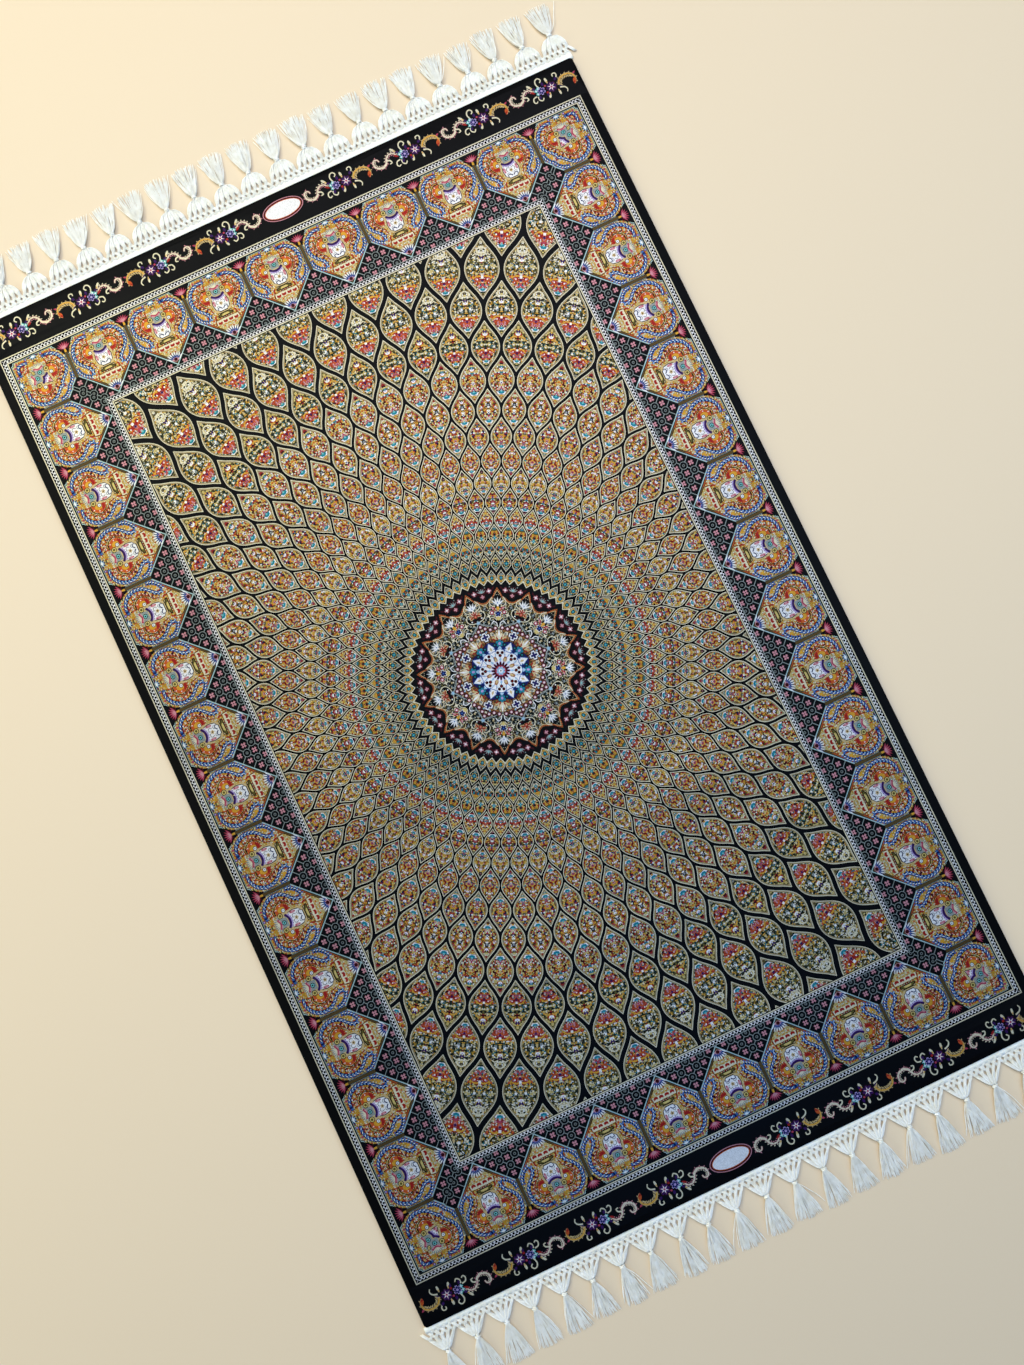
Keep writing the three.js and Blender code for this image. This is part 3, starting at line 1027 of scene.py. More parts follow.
def draw_end_unit(pen):
    """One spray: an S-scroll, buds on hooked stems, two flowers and a golden leaf."""
    first = spline([
        (8.0, 3.0), (6.6, 6.2), (2.6, 6.6), (0.8, 3.0), (2.0, -2.0), (6.2, -4.8), (11.4, -5.4),
        (14.6, -3.4)])
    second = spline([(11.0, -4.8), (15.0, -2.6), (17.4, 2.8), (21.6, 6.2), (27.0, 5.4), (30.4, 0.6)])
    for line, width, tip in ((first, 2.0, 3.8), (second, 3.6, 2.0)):
        pen.garlands(
            ("cream", line, 7, 3.6, 1, -112, 0.3, 0.94), ("pink", line, 6, 3.4, 0.9, 112, 0.2, 0.9))
        pen.bands(
            ("maroon", line, width + 0.5, tip + 0.5), ("pink", line, width - 0.4, tip - 0.4),
            ("cream", line, width - 1.1, tip - 1.1))
        pen.garland("night", line, 5, 1.8, 0.5, 100, 0.25, 0.9)
    pen.band("cream", spline([(16.6, 0.4), (20.4, -0.8), (21.6, -4), (18.8, -4.8)], 3), 1.8, 1.2)
    pen.blade("red", 26.6, 3.2, 6.4, 1.4, 128, LEAF)
    for dye, curl, width, tip in CURLS:
        pen.band(dye, spline(curl, 4), width, tip)
    for x, y, length, half_width, heading in BUDS:
        pen.blades(
            ("cream", x, y, length, half_width, heading),
            ("gold", x, y, length * 0.55, half_width * 0.5, heading, KITE))
    for x, y, heading in PURPLE_LEAVES:
        pen.blade("purple", x, y, 5.4, 1.7, heading, LEAF)
    for x, y in ((33.4, 1.6), (34.2, -2.6), (36.6, 3.6)):
        pen.rosette("aqua", x, y, 2.2, 4, 0.5)
        pen.oval("white", x, y, 1)
    pen.rosettes(("lilac", 39.4, -0.6, 4.9, 6), ("navy", 39.4, -0.6, 3.9, 6))
    pen.oval("lilac", 39.4, -0.6, 1.5, 6)
    pen.rosettes(("maroon", 52.2, -0.8, 6.9, 8, 0.7), ("purple", 52.2, -0.8, 6.2, 8, 0.7))
    pen.stars(("pink", 52.2, -0.8, 5.6, 6, 0.3), ("white", 52.2, -0.8, 4.4, 6, 0.3))
    pen.ovals(("rose", 52.2, -0.8, 1.4, 6), ("red", 45.2, -5.2, 1.5, 6), ("rose", 45.6, 3.4, 1.3, 6))
    leaf = spline([
        (61.2, -2.4), (64.0, 3.2), (69.4, 6.0), (76.0, 5.8), (80.8, 2.4), (82.0, -3.4), (79.0, -8.2)])
    pen.garlands(
        ("sand", leaf, 8, 5.6, 1.1, 124, 0.06, 0.74), ("sand", leaf, 8, 3.2, 1, -70, 0.06, 0.9))
    pen.bands(("maroon", leaf, 3.8, 2.8), ("sand", leaf, 3, 2), ("gold", leaf[1:], 1.6, 1.2))
    pen.garland("bronze", leaf, 6, 2.2, 0.5, 112, 0.1, 0.8)
    pen.blades(
        ("orange", 81.6, -1, 8.6, 2.2, 200, LEAF), ("red", 80.6, -5, 4, 1.2, 214, KITE),
        ("rose", 81, 3, 4.6, 1.2, 60, KITE))


def draw_end_band(chart, end):
    """The band at one end, the other end's turned by half a turn."""
    def plan(x, y):
        return end * x, end * (BAND_MIDDLE + y)
    middle = Pen(chart, plan)
    middle.ovals(
        ("pink", 0, 0, 25.2, 32, 12.5), ("maroon", 0, 0, 24.3, 32, 11.7),
        ("orange", 0, 0, 22.6, 32, 10.1), ("white", 0, 0, 21.7, 32, 9.3))
    for i in range(UNITS):
        start = FIRST_UNIT + UNIT_PITCH * i
        for side in middle.both():
            draw_end_unit(side.moved(start, 0))


# Slabs cut from the chart

def rim_outline(inset, corner_steps=4):
    """The rug's outline, drawn in by an inset."""
    radius = CORNER_RADIUS - inset
    corners = []
    for quarter, (sx, sy) in enumerate(((1, 1), (-1, 1), (-1, -1), (1, -1))):
        for step in range(corner_steps + 1):
            angle = math.pi / 2 * (quarter + step / corner_steps)
            corners.append((sx * (HALF_WIDTH - CORNER_RADIUS) + radius * math.cos(angle),
                            sy * (HALF_LENGTH - CORNER_RADIUS) + radius * math.sin(angle)))
    return corners


def edge_drop(x, y):
    """How far the pile's top has rounded off at a point near the rug's edge."""
    from_side = HALF_WIDTH - abs(x)
    from_end = HALF_LENGTH - abs(y)
    inside = min(from_side, from_end)
    if from_side < CORNER_RADIUS and from_end < CORNER_RADIUS:
        inside = CORNER_RADIUS - math.hypot(CORNER_RADIUS - from_side, CORNER_RADIUS - from_end)
    short = max(0.0, EDGE_ROUND - max(inside, 0.0))
    return EDGE_ROUND - math.sqrt(max(EDGE_ROUND ** 2 - short ** 2, 0.0))


# How far inwards the rounded edge has its lines of corners
RIM_INSETS = (0.12, 0.45, 0.9, EDGE_ROUND)


def lay_rim(chart):
    for inset in RIM_INSETS:
        chart.lay("night", rim_outline(inset))


def lay_side_rim(chart, sign):
    """The rim along a long side, between the end bands."""
    inner = sign * (GUARD_X + 2)
    for inset in RIM_INSETS:
        edge = sign * (HALF_WIDTH - inset)
        chart.lay("night", [(edge, -GUARD_Y), (inner, -GUARD_Y), (inner, GUARD_Y), (edge, GUARD_Y)])


# A patch that covers this much more than its own size has spilt over and isn't used
SPILL_SHARE = 1.5
SPILL_AREA = 0.5


def cut_region(chart, region, folds):
    """The chart's triangles inside a region, each with its dye. The folds part the baked map."""
    xs, ys = [p[0] for p in region], [p[1] for p in region]
    low_x, high_x, low_y, high_y = min(xs), max(xs), min(ys), max(ys)
    corners = list(region)
    faces = [list(range(len(region)))]
    dyes = [DYE_NAMES.index("night")]
    sizes = [abs(signed_area(region))]
    for dye, outline in chart.patches:
        px = [p[0] for p in outline]
        py = [p[1] for p in outline]
        if max(px) < low_x or min(px) > high_x or max(py) < low_y or min(py) > high_y:
            continue
        start = len(corners)
        corners.extend(outline)
        faces.append(list(range(start, start + len(outline))))
        dyes.append(dye)
        sizes.append(signed_area(outline))
    edges = []
    for ends in folds:
        edges.append((len(corners), len(corners) + 1))
        corners.extend(ends)
    spots, _, triangles, _, _, sources = delaunay_2d_cdt(
        [Vector(c) for c in corners], edges, faces, 0, NEAR_POINTS)
    covered = [0.0] * len(dyes)
    for triangle, over in zip(triangles, sources):
        area = abs(signed_area([spots[i] for i in triangle]))
        for patch in over:
            covered[patch] += area
    spilt = {i for i, size in enumerate(sizes) if covered[i] > SPILL_SHARE * size + SPILL_AREA}
    spilt.discard(0)
    kept = [(t, dyes[max(set(s) - spilt)]) for t, s in zip(triangles, sources) if s and min(s) == 0]
    return sparse_triangles(spots, [k[0] for k in kept], [k[1] for k in kept], folds)


# A corner no further than this from the line between its neighbours is left out
STRAIGHT = 0.035


def sparse_triangles(spots, triangles, dyes, folds):
    """The same patches with no more corners than the lines between two dyes need."""
    side_dye = {}
    for corners, dye in zip(triangles, dyes):
        a, b, c = corners
        side_dye[a, b] = side_dye[b, c] = side_dye[c, a] = dye
    lines = {}
    for (a, b), dye in side_dye.items():
        other = side_dye.get((b, a), -1)
        on_fold = any(
            abs(spots[a][k] - fold[0][k]) < NEAR_POINTS and abs(spots[b][k] - fold[0][k]) < NEAR_POINTS
            for fold in folds for k in (0, 1) if fold[0][k] == fold[1][k])
        if other != dye or on_fold:
            lines[a, b] = dye
    neighbours = {}
    for a, b in lines:
        neighbours.setdefault(a, set()).add(b)
        neighbours.setdefault(b, set()).add(a)
    for middle in list(neighbours):
        linked = neighbours[middle]
        if len(linked) != 2:
            continue
        a, b = linked
        if b in neighbours[a]:
            continue
        (ax, ay), (bx, by), (mx, my) = spots[a], spots[b], spots[middle]
        span = math.hypot(bx - ax, by - ay)
        if abs((bx - ax) * (my - ay) - (by - ay) * (mx - ax)) > STRAIGHT * span:
            continue
        for start, end in ((a, b), (b, a)):
            first = lines.pop((start, middle), None)
            if first is not None:
                lines[start, end] = first
            lines.pop((middle, end), None)
            neighbours[start].discard(middle)
            neighbours[start].add(end)
        del neighbours[middle]
    used = list(neighbours)
    number = {old: new for new, old in enumerate(used)}
    borders = [(number[a], number[b]) for a, b in lines if a < b or (b, a) not in lines]
    points, edges, faces, _, edge_sources, _ = delaunay_2d_cdt(
        [Vector(spots[i]) for i in used], borders, [], 0, NEAR_POINTS / 10)
    left_dye = {}
    for (a, b), dye in lines.items():
        left_dye[number[a], number[b]] = dye
    fixed = {}
    for (a, b), sources in zip(edges, edge_sources):
        if not sources:
            continue
        c, d = borders[sources[0]]
        (ax, ay), (bx, by) = points[a], points[b]
        (cx, cy), (dx, dy) = spots[used[c]], spots[used[d]]
        if (bx - ax) * (dx - cx) + (by - ay) * (dy - cy) < 0:
            a, b = b, a
        fixed[a, b] = left_dye.get((c, d), -1)
        fixed[b, a] = left_dye.get((d, c), -1)
    owner = {}
    for index, face in enumerate(faces):
        for i in range(3):
            owner[face[i], face[(i + 1) % 3]] = index
    found = [None] * len(faces)
    for index, face in enumerate(faces):
        for i in range(3):
            dye = fixed.get((face[i], face[(i + 1) % 3]))
            if dye is not None:
                found[index] = dye
    waiting = [i for i, dye in enumerate(found) if dye is not None]
    while waiting:
        index = waiting.pop()
        face = faces[index]
        for i in range(3):
            a, b = face[i], face[(i + 1) % 3]
            if (a, b) in fixed:
                continue
            beyond = owner.get((b, a))
            if beyond is not None and found[beyond] is None:
                found[beyond] = found[index]
                waiting.append(beyond)
    kept = [(face, dye) for face, dye in zip(faces, found) if dye is not None and dye >= 0]
    return points, [k[0] for k in kept], [k[1] for k in kept]


def rim_loop(triangles):
    """The one closed line round a set of triangles."""
    directed = {(t[i], t[(i + 1) % 3]) for t in triangles for i in range(3)}
    following = {a: b for a, b in directed if (b, a) not in directed}
    first = next(iter(following))
    loop = [first]
    while following[loop[-1]] != first:
        loop.append(following[loop[-1]])
    return loop


# The baked map: where the top begins and ends, and the gap between its parts
MAP_TOP = 0.05
MAP_END = 0.995
MAP_GAP = 0.006

# Where every wall lies on the baked map, below the top
MAP_WALL = [(0.02, 0.035), (0.02, 0.025), (0.98, 0.025), (0.98, 0.035)]


def pile_piece(name, chart, region, low, parts, motif=None):
    """A slab of pile cut from the chart, closed all round, with its dyes, flecks and maps."""
    xs, ys = [p[0] for p in region], [p[1] for p in region]
    x0, x1, y0, y1 = min(xs), max(xs), min(ys), max(ys)
    lengthwise = y1 - y0 > x1 - x0
    start, span = (y0, (y1 - y0) / parts) if lengthwise else (x0, (x1 - x0) / parts)
    folds = []
    for i in range(1, parts):
        at = start + span * i
        folds.append([(x0 - 1, at), (x1 + 1, at)] if lengthwise else [(at, y0 - 1), (at, y1 + 1)])
    spots, triangles, dyes = cut_region(chart, region, folds)
    loop = rim_loop(triangles)
    used = sorted({i for t in triangles for i in t})
    number = {old: new for new, old in enumerate(used)}
    flat = [tuple(spots[i]) for i in used]
    verts = [(x * MM, y * MM, (RUG_THICKNESS - edge_drop(x, y)) * MM) for x, y in flat]
    faces = [tuple(number[i] for i in t) for t in triangles]
    rim = [number[i] for i in loop]
    base = len(verts)
    verts += [(flat[i][0] * MM, flat[i][1] * MM, low * MM) for i in rim]
    walls = []
    for k, a in enumerate(rim):
        n = (k + 1) % len(rim)
        walls.append((a, base + k, base + n, rim[n]))
    outline = [Vector(flat[i]) for i in rim]
    _, _, under, origins, _, _ = delaunay_2d_cdt(outline, [], [list(range(len(outline)))], 1, 1e-5)
    floor = [tuple(base + origins[i][0] for i in reversed(t)) for t in under]
    mesh = bpy.data.meshes.new(name)
    mesh.from_pydata(verts, [], faces + walls + floor)
    piece = bpy.data.objects.new(name, mesh)
    bpy.context.collection.objects.link(piece)
    night = DYE_NAMES.index("night")
    lay_dyes(mesh, np.array(dyes + [night] * (len(walls) + len(floor))))
    lay_baked_map(mesh, len(faces), len(walls), (x0, x1, y0, y1), lengthwise, span, parts)
    if motif:
        lay_motif_map(mesh, len(faces), motif)
    return piece


def lay_dyes(mesh, dyes):
    """The dye of each face, and the number of its mix where it is a ground of flecks."""
    colours = np.array([channels(code) + [1.0] for code in DYES.values()])
    corner_dyes = np.repeat(dyes, [len(face.vertices) for face in mesh.polygons])
    layer = mesh.color_attributes.new(name="dye", type="BYTE_COLOR", domain="CORNER")
    layer.data.foreach_set("color_srgb", colours[corner_dyes].astype(np.float32).ravel())
    mix_of = {DYE_NAMES.index(name): i + 1 for i, name in enumerate(MIXES)}
    flecks = mesh.attributes.new("flecks", "FLOAT", "FACE")
    flecks.data.foreach_set("value", np.array([mix_of.get(n, 0) for n in dyes], dtype=np.float32))


def corner_places(mesh):
    """Where each corner of each face lies, in metres."""
    corner_verts = np.empty(len(mesh.loops), dtype=np.int32)
    mesh.loops.foreach_get("vertex_index", corner_verts)
    places = np.empty(len(mesh.vertices) * 3, dtype=np.float32)
    mesh.vertices.foreach_get("co", places)
    return places.reshape(-1, 3)[corner_verts]


# The step over which a motif's own measures are compared, and the steepest change that is no seam
MOTIF_STEP = 0.01
STEEPEST = 3


def lay_motif_map(mesh, tops, motif):
    """For each corner of the top, its place in its motif, found for the middle of its triangle."""
    corners = corner_places(mesh)[:tops * 3].reshape(-1, 3, 3)[:, :, :2].astype(float) / MM
    middles = corners.mean(axis=1)
    x, y = middles[:, 0], middles[:, 1]
    here, right, above = motif(x, y), motif(x + MOTIF_STEP, y), motif(x, y + MOTIF_STEP)
    shift = corners - middles[:, None, :]
    sheet = np.zeros((len(mesh.loops), 2), dtype=np.float32)
    for axis in (0, 1):
        slopes = [(moved[axis] - here[axis]) / MOTIF_STEP for moved in (right, above)]
        by_x, by_y = (np.where(np.abs(slope) > STEEPEST, 0, slope)[:, None] for slope in slopes)
        spread = here[axis][:, None] + by_x * shift[:, :, 0] + by_y * shift[:, :, 1]
        sheet[:tops * 3, axis] = spread.ravel()
    mesh.uv_layers.new(name="Motif").data.foreach_set("uv", sheet.ravel())


def lay_baked_map(mesh, tops, walls, box, lengthwise, span, parts):
    """The map on which the finish is baked: the top in parts side by side, the rest along one edge."""
    x0, x1, y0, y1 = box
    places = corner_places(mesh) / MM
    x, y = places[:, 0], places[:, 1]
    long_way, short_way = (y - y0, (x - x0) / (x1 - x0)) if lengthwise else (x - x0, (y - y0) / (y1 - y0))
    sheet = np.zeros((len(mesh.loops), 2), dtype=np.float32)
    top_end = tops * 3
    centres = long_way[:top_end].reshape(-1, 3).mean(axis=1)
    strip = np.repeat(np.clip((centres / span).astype(int), 0, parts - 1), 3)
    sheet[:top_end, 0] = (strip + MAP_GAP + short_way[:top_end] * (1 - 2 * MAP_GAP)) / parts
    within = long_way[:top_end] / span - strip
    sheet[:top_end, 1] = MAP_TOP + within * (MAP_END - MAP_TOP)
    wall_end = top_end + walls * 4
    sheet[top_end:wall_end] = np.tile(MAP_WALL, (walls, 1))
    sheet[wall_end:, 0] = 0.01 + 0.98 * (x[wall_end:] - x0) / (x1 - x0)
    sheet[wall_end:, 1] = 0.004 + 0.014 * (y[wall_end:] - y0) / (y1 - y0)
    layer = mesh.uv_layers.new(name="OFBake")
    layer.data.foreach_set("uv", sheet.ravel())


# Finishes

# Dyed silk: its shine, and how deep the dyes lie in the pile
SILK_SHINE = 0.5
SILK_SPECULAR = 0.12
SILK_ROUGHNESS = (0.4, 0.54)
DYE_GAMMA = 1.12
DYE_DEPTH = (0.64, 0.64, 0.69)

# How much lighter or darker a knot or a row of knots can be
KNOT_SHADES = (0.78, 1.16)
ROW_SHADES = (0.88, 1.12)
ROW_STRETCH = (3.0, 22.0, 1.0)
ROW_SPREAD = (0.3, 0.7)

# The thin dark outlines between flecks
OUTLINE_REACH = (0.04, 0.12)
OUTLINE_DEPTH = (0.8, 0.0)

IVORY_SHADE = (0.9, 0.88, 0.82)
BACK_SHADE = 0.62


def new_finish(name, **settings):
    """A finish with settings of its shader, whose names are written with a low line for each space."""
    finish = bpy.data.materials.new(name)
    finish.use_nodes = True
    shader = finish.node_tree.nodes["Principled BSDF"]
    for key, value in settings.items():
        shader.inputs[key.replace("_", " ")].default_value = value
    return finish, finish.node_tree, shader


def put(tree, node, key, value):
    """Sets an input, or links it where the value is another node's output."""
    if isinstance(value, bpy.types.NodeSocket):
        tree.links.new(value, node.inputs[key])
    else:
        node.inputs[key].default_value = value


def add_node(tree, kind, *inputs, **values):
    """A node with its first inputs in their order, its settings by name and other inputs by theirs.

    Names of settings are in small letters, and those of inputs begin with a capital.
    """
    node = tree.nodes.new("ShaderNode" + kind)
    for key in [key for key in values if key.islower()]:
        setattr(node, key, values.pop(key))
    for key, value in [*enumerate(inputs), *values.items()]:
        put(tree, node, key, value)
    return node


def spread_of(tree, source, old, new):
    """A value brought from one range to another."""
    return add_node(tree, "MapRange", source, *old, *new).outputs["Result"]


def reckoned(tree, operation, *inputs):
    return add_node(tree, "Math", *inputs, operation=operation).outputs["Value"]


def mixed_colour(tree, factor, first, second):
    blend = add_node(tree, "Mix", factor, data_type="RGBA")
    put(tree, blend, 6, first)
    put(tree, blend, 7, second)
    return blend.outputs[2]


def add_bump(tree, shader, height, strength, distance):
    bump = add_node(tree, "Bump", Strength=strength, Distance=distance, Height=height)
    put(tree, shader, "Normal", bump.outputs["Normal"])


def object_place(tree):
    return add_node(tree, "TexCoord").outputs["Object"]


def fleck_colours(tree, dye):
    """The dye, or on a ground of flecks the flecks' own dyes, mirrored in each motif."""
    which = add_node(tree, "Attribute", attribute_name="flecks").outputs["Fac"]
    sheet = add_node(tree, "UVMap", uv_map="Motif")
    parts = add_node(tree, "SeparateXYZ", sheet.outputs["UV"])
    mirrored = reckoned(tree, "ABSOLUTE", parts.outputs["X"])
    place = add_node(tree, "CombineXYZ", mirrored, parts.outputs["Y"]).outputs["Vector"]
    cells = {"voronoi_dimensions": "2D", "Vector": place, "Scale": 1 / FLECK, "Randomness": 0.8}
    spots = add_node(tree, "TexVoronoi", **cells)
    edges = add_node(tree, "TexVoronoi", feature="DISTANCE_TO_EDGE", **cells)
    pick = add_node(tree, "SeparateColor", spots.outputs["Color"]).outputs["Red"]
    colour = dye
    for index, shares in enumerate(MIXES.values()):
        ramp = add_node(tree, "ValToRGB", pick)
        ramp.color_ramp.interpolation = "CONSTANT"
        stops = ramp.color_ramp.elements
        total, reached = sum(shares.values()), 0
        for k, (name, share) in enumerate(shares.items()):
            stop = stops[k] if k < 2 else stops.new(1.0)
            stop.position = reached / total
            stop.color = (*linear(DYES[name]), 1)
            reached += share
        chosen = reckoned(tree, "COMPARE", which, index + 1, 0.5)
        colour = mixed_colour(tree, chosen, colour, ramp.outputs["Color"])
    near_edge = spread_of(tree, edges.outputs["Distance"], OUTLINE_REACH, OUTLINE_DEPTH)
    on_flecks = reckoned(tree, "GREATER_THAN", which, 0.5)
    outlined = reckoned(tree, "MULTIPLY", near_edge, on_flecks)
    return mixed_colour(tree, outlined, colour, (*linear(DYES["forest"]), 1))


def silk_finish(knot):
    """Dyed silk pile: each knot a little lighter or darker, and a shine in the dye's own colour."""
    finish, tree, shader = new_finish("dyed_silk", Metallic=SILK_SHINE, Specular_IOR_Level=SILK_SPECULAR)
    place = object_place(tree)
    dye = add_node(tree, "Attribute", attribute_name="dye").outputs["Color"]
    knots = add_node(tree, "TexVoronoi", Vector=place, Scale=1 / knot, Randomness=0.35)
    shade = spread_of(tree, knots.outputs["Color"], (0.0, 1.0), KNOT_SHADES)
    stretched = add_node(tree, "Mapping", Vector=place, Scale=ROW_STRETCH).outputs["Vector"]
    rows = add_node(tree, "TexNoise", Vector=stretched, Scale=1.0, Detail=4.0, Roughness=0.6).outputs["Fac"]
    both = reckoned(tree, "MULTIPLY", shade, spread_of(tree, rows, ROW_SPREAD, ROW_SHADES))
    tint = add_node(tree, "VectorMath", fleck_colours(tree, dye), operation="SCALE", Scale=both)
    deep = add_node(tree, "Gamma", tint.outputs["Vector"], Gamma=DYE_GAMMA)
    dimmed = add_node(tree, "VectorMath", deep.outputs["Color"], DYE_DEPTH, operation="MULTIPLY")
    put(tree, shader, "Base Color", dimmed.outputs["Vector"])
    put(tree, shader, "Roughness", spread_of(tree, rows, ROW_SPREAD, SILK_ROUGHNESS))
    add_bump(tree, shader, knots.outputs["Distance"], 0.35, 0.3 * MM)
    return finish


def back_finish(colour):
    """The back of the cloth: rows of fine knots in plain yarn."""
    finish, tree, shader = new_finish("rug_back", Roughness=0.8)
    place = object_place(tree)
    ribs = add_node(tree, "TexWave", Vector=place, Scale=260.0, Distortion=0.6, bands_direction="Y")
    mottle = add_node(tree, "TexNoise", Vector=place, Scale=60.0, Detail=5.0).outputs["Fac"]
    dark = [c * BACK_SHADE for c in colour]
    put(tree, shader, "Base Color", mixed_colour(tree, mottle, (*dark, 1), (*colour, 1)))
    add_bump(tree, shader, ribs.outputs["Fac"], 0.4, 0.3 * MM)
    return finish


def yarn_finish(colour):
    """Soft spun yarn, whose twist follows each thread's own map."""
    finish, tree, shader = new_finish(
        "spun_yarn", Roughness=0.75, Sheen_Weight=0.4, Subsurface_Weight=0.5,
        Subsurface_Radius=(1.0, 0.9, 0.8), Subsurface_Scale=1.5 * MM)
    thread = add_node(tree, "UVMap", uv_map="Thread").outputs["UV"]
    twist = add_node(tree, "TexWave", Vector=thread, Scale=1.0, Distortion=0.4, bands_direction="DIAGONAL")
    mottle = add_node(tree, "TexNoise", Vector=object_place(tree), Scale=140.0, Detail=4.0).outputs["Fac"]
    dark = [c * shade for c, shade in zip(colour, IVORY_SHADE)]
    lightness = spread_of(tree, mottle, (0.35, 0.6), (0.0, 1.0))
    put(tree, shader, "Base Color", mixed_colour(tree, lightness, (*dark, 1), (*colour, 1)))
    add_bump(tree, shader, twist.outputs["Fac"], 0.3, 0.2 * MM)
    return finish


def floor_finish(colour):
    return new_finish("plain_floor", Base_Color=(*colour, 1), Roughness=0.7)[0]


# Threads of the fringe

# How each end's net runs from the valley between two tassels to their knots
ENDS = {
    "fringe_far": {"turn": 0.0, "valley": 18.0, "knot": 33.0, "bulge": 0.85, "salt": 1, "apart": 1.9,
                   "rows": (8.0, 12.8, 17.1)},
    "fringe_near": {"turn": math.pi, "valley": 16.5, "knot": 29.5, "bulge": 0.15, "salt": 2, "apart": 0.9,
                    "rows": (6.6, 10.8, 15.0)},
}
SEAM_GAP = 0.3
TASSELS = 22
TASSEL_PITCH = 35.1
KNOT_LENGTH = 6
TAIL_TIP = 74
HEADING = {"overhang": 2.5, "height": 2.6, "rib": 2.4}

# Rows of the tape: share of its width, and share of its height there
TAPE_ROWS = ((0.0, 0.86), (0.4, 1.0), (1.0, 0.75))
TAPE_GROOVE = 0.84

# How far a tassel strays from the even layout
STRAY = {"knot": 1.1, "lean": 1.2, "tip": 1.8}
NET_PITCH = TASSEL_PITCH / 5


def stray(index, salt):
    """The same steady irregularity between -1 and 1 that the solids have."""
    wave = math.sin(index * 12.9898 + salt * 78.233) * 43758.5453
    return 2 * (wave - math.floor(wave)) - 1


class Yarns:
    """Gathers threads of equal make into one mesh, each a closed tube with a map along it."""

    def __init__(self, sides, rings, crest=0.25):
        self.sides = sides
        self.rings = rings
        self.crest = crest
        self.paths = []
        self.radii = []

    def add(self, path, radius):
        """A thread through a path of (x, y, z), with one radius or one for each ring."""
        self.paths.append(path)
        self.radii.append(radius if isinstance(radius, (list, tuple)) else [radius] * self.rings)

    def shell(self):
        paths = np.array(self.paths, dtype=float)
        radii = np.array(self.radii, dtype=float)
        course = np.gradient(paths, axis=1)
        course /= np.linalg.norm(course, axis=2, keepdims=True)
        across = np.cross(course, (0.0, 0.0, 1.0))
        across /= np.maximum(np.linalg.norm(across, axis=2, keepdims=True), 1e-9)
        lift = np.cross(across, course)
        angles = TAU * (np.arange(self.sides) / self.sides + self.crest)
        rings = (paths[:, :, None, :]
                 + radii[:, :, None, None] * (np.cos(angles)[None, None, :, None] * across[:, :, None, :]
                                              + np.sin(angles)[None, None, :, None] * lift[:, :, None, :]))
        steps = np.linalg.norm(np.diff(paths, axis=1), axis=2)
        reach = np.concatenate([np.zeros((len(paths), 1)), np.cumsum(steps, axis=1)], axis=1)
        return rings.reshape(-1, 3), reach

    def faces(self, start=0):
        one = []
        for ring in range(self.rings - 1):
            for side in range(self.sides):
                a = ring * self.sides + side
                b = ring * self.sides + (side + 1) % self.sides
                one.append((a, b, b + self.sides, a + self.sides))
        caps = [tuple(range(self.sides))[::-1],
                tuple(range((self.rings - 1) * self.sides, self.rings * self.sides))]
        step = self.rings * self.sides
        faces = []
        for k in range(len(self.paths)):
            base = start + k * step
            faces += [tuple(base + i for i in face) for face in one]
            faces += [tuple(base + i for i in cap) for cap in caps]
        return faces


# The baked map of a fringe: threads share these columns, and the tape repeats over this length
MAP_COLUMNS = 32
MAP_REACH = 95
TAPE_REPEAT = 70


def map_threads(yarns, reach, sheet, baked):
    """Adds the threads' corners to two maps: turns and millimetres along the thread, and the baked map."""
    for k in range(len(yarns.paths)):
        corners = []
        for ring in range(yarns.rings - 1):
            low, high = reach[k][ring], reach[k][ring + 1]
            for side in range(yarns.sides):
                u0, u1 = side / yarns.sides, (side + 1) / yarns.sides
                corners += [(u0, low), (u1, low), (u1, high), (u0, high)]
        for end in (0, -1):
            corners += [(0.5 + 0.3 * math.cos(TAU * i / yarns.sides),
                         reach[k][end] + 0.3 * math.sin(TAU * i / yarns.sides)) for i in range(yarns.sides)]
        sheet += corners
        column = k % MAP_COLUMNS
        baked += [((column + 0.1 + 0.8 * u) / MAP_COLUMNS, 0.01 + 0.9 * v / MAP_REACH) for u, v in corners]


def fringe_piece(name, turn, groups, extra=None, rounded=True):
    """One mesh of several groups of threads, turned to its end of the rug."""
    verts, faces, sheet, baked = [], [], [], []
    if extra:
        verts += extra[0]
        faces += extra[1]
        for face in extra[1]:
            spots = [extra[0][i] for i in face]
            base = TAPE_REPEAT * math.floor(sum(x for x, _, _ in spots) / len(spots) / TAPE_REPEAT)
            sheet += [(x / 3, y) for x, y, _ in spots]
            baked += [
                (0.02 + 0.95 * (x - base) / TAPE_REPEAT, 0.93 + (y + 0.3 * z) * 0.005)
                for x, y, z in spots]
    for yarns in groups:
        shell, reach = yarns.shell()
        faces += yarns.faces(len(verts))
        verts += [tuple(v) for v in shell]
        map_threads(yarns, reach, sheet, baked)
    seam = HALF_LENGTH + SEAM_GAP
    sign = math.cos(turn)
    placed = [(sign * x * MM, sign * (seam + y) * MM, max(z, 0.02) * MM) for x, y, z in verts]
    mesh = bpy.data.meshes.new(name)
    mesh.from_pydata(placed, [], faces)
    mesh.uv_layers.new(name="Thread").data.foreach_set("uv", np.array(sheet, dtype=np.float32).ravel())
    mesh.uv_layers.new(name="OFBake").data.foreach_set("uv", np.array(baked, dtype=np.float32).ravel())
    mesh.polygons.foreach_set("use_smooth", [rounded] * len(mesh.polygons))
    piece = bpy.data.objects.new(name, mesh)
    bpy.context.collection.objects.link(piece)
    return piece


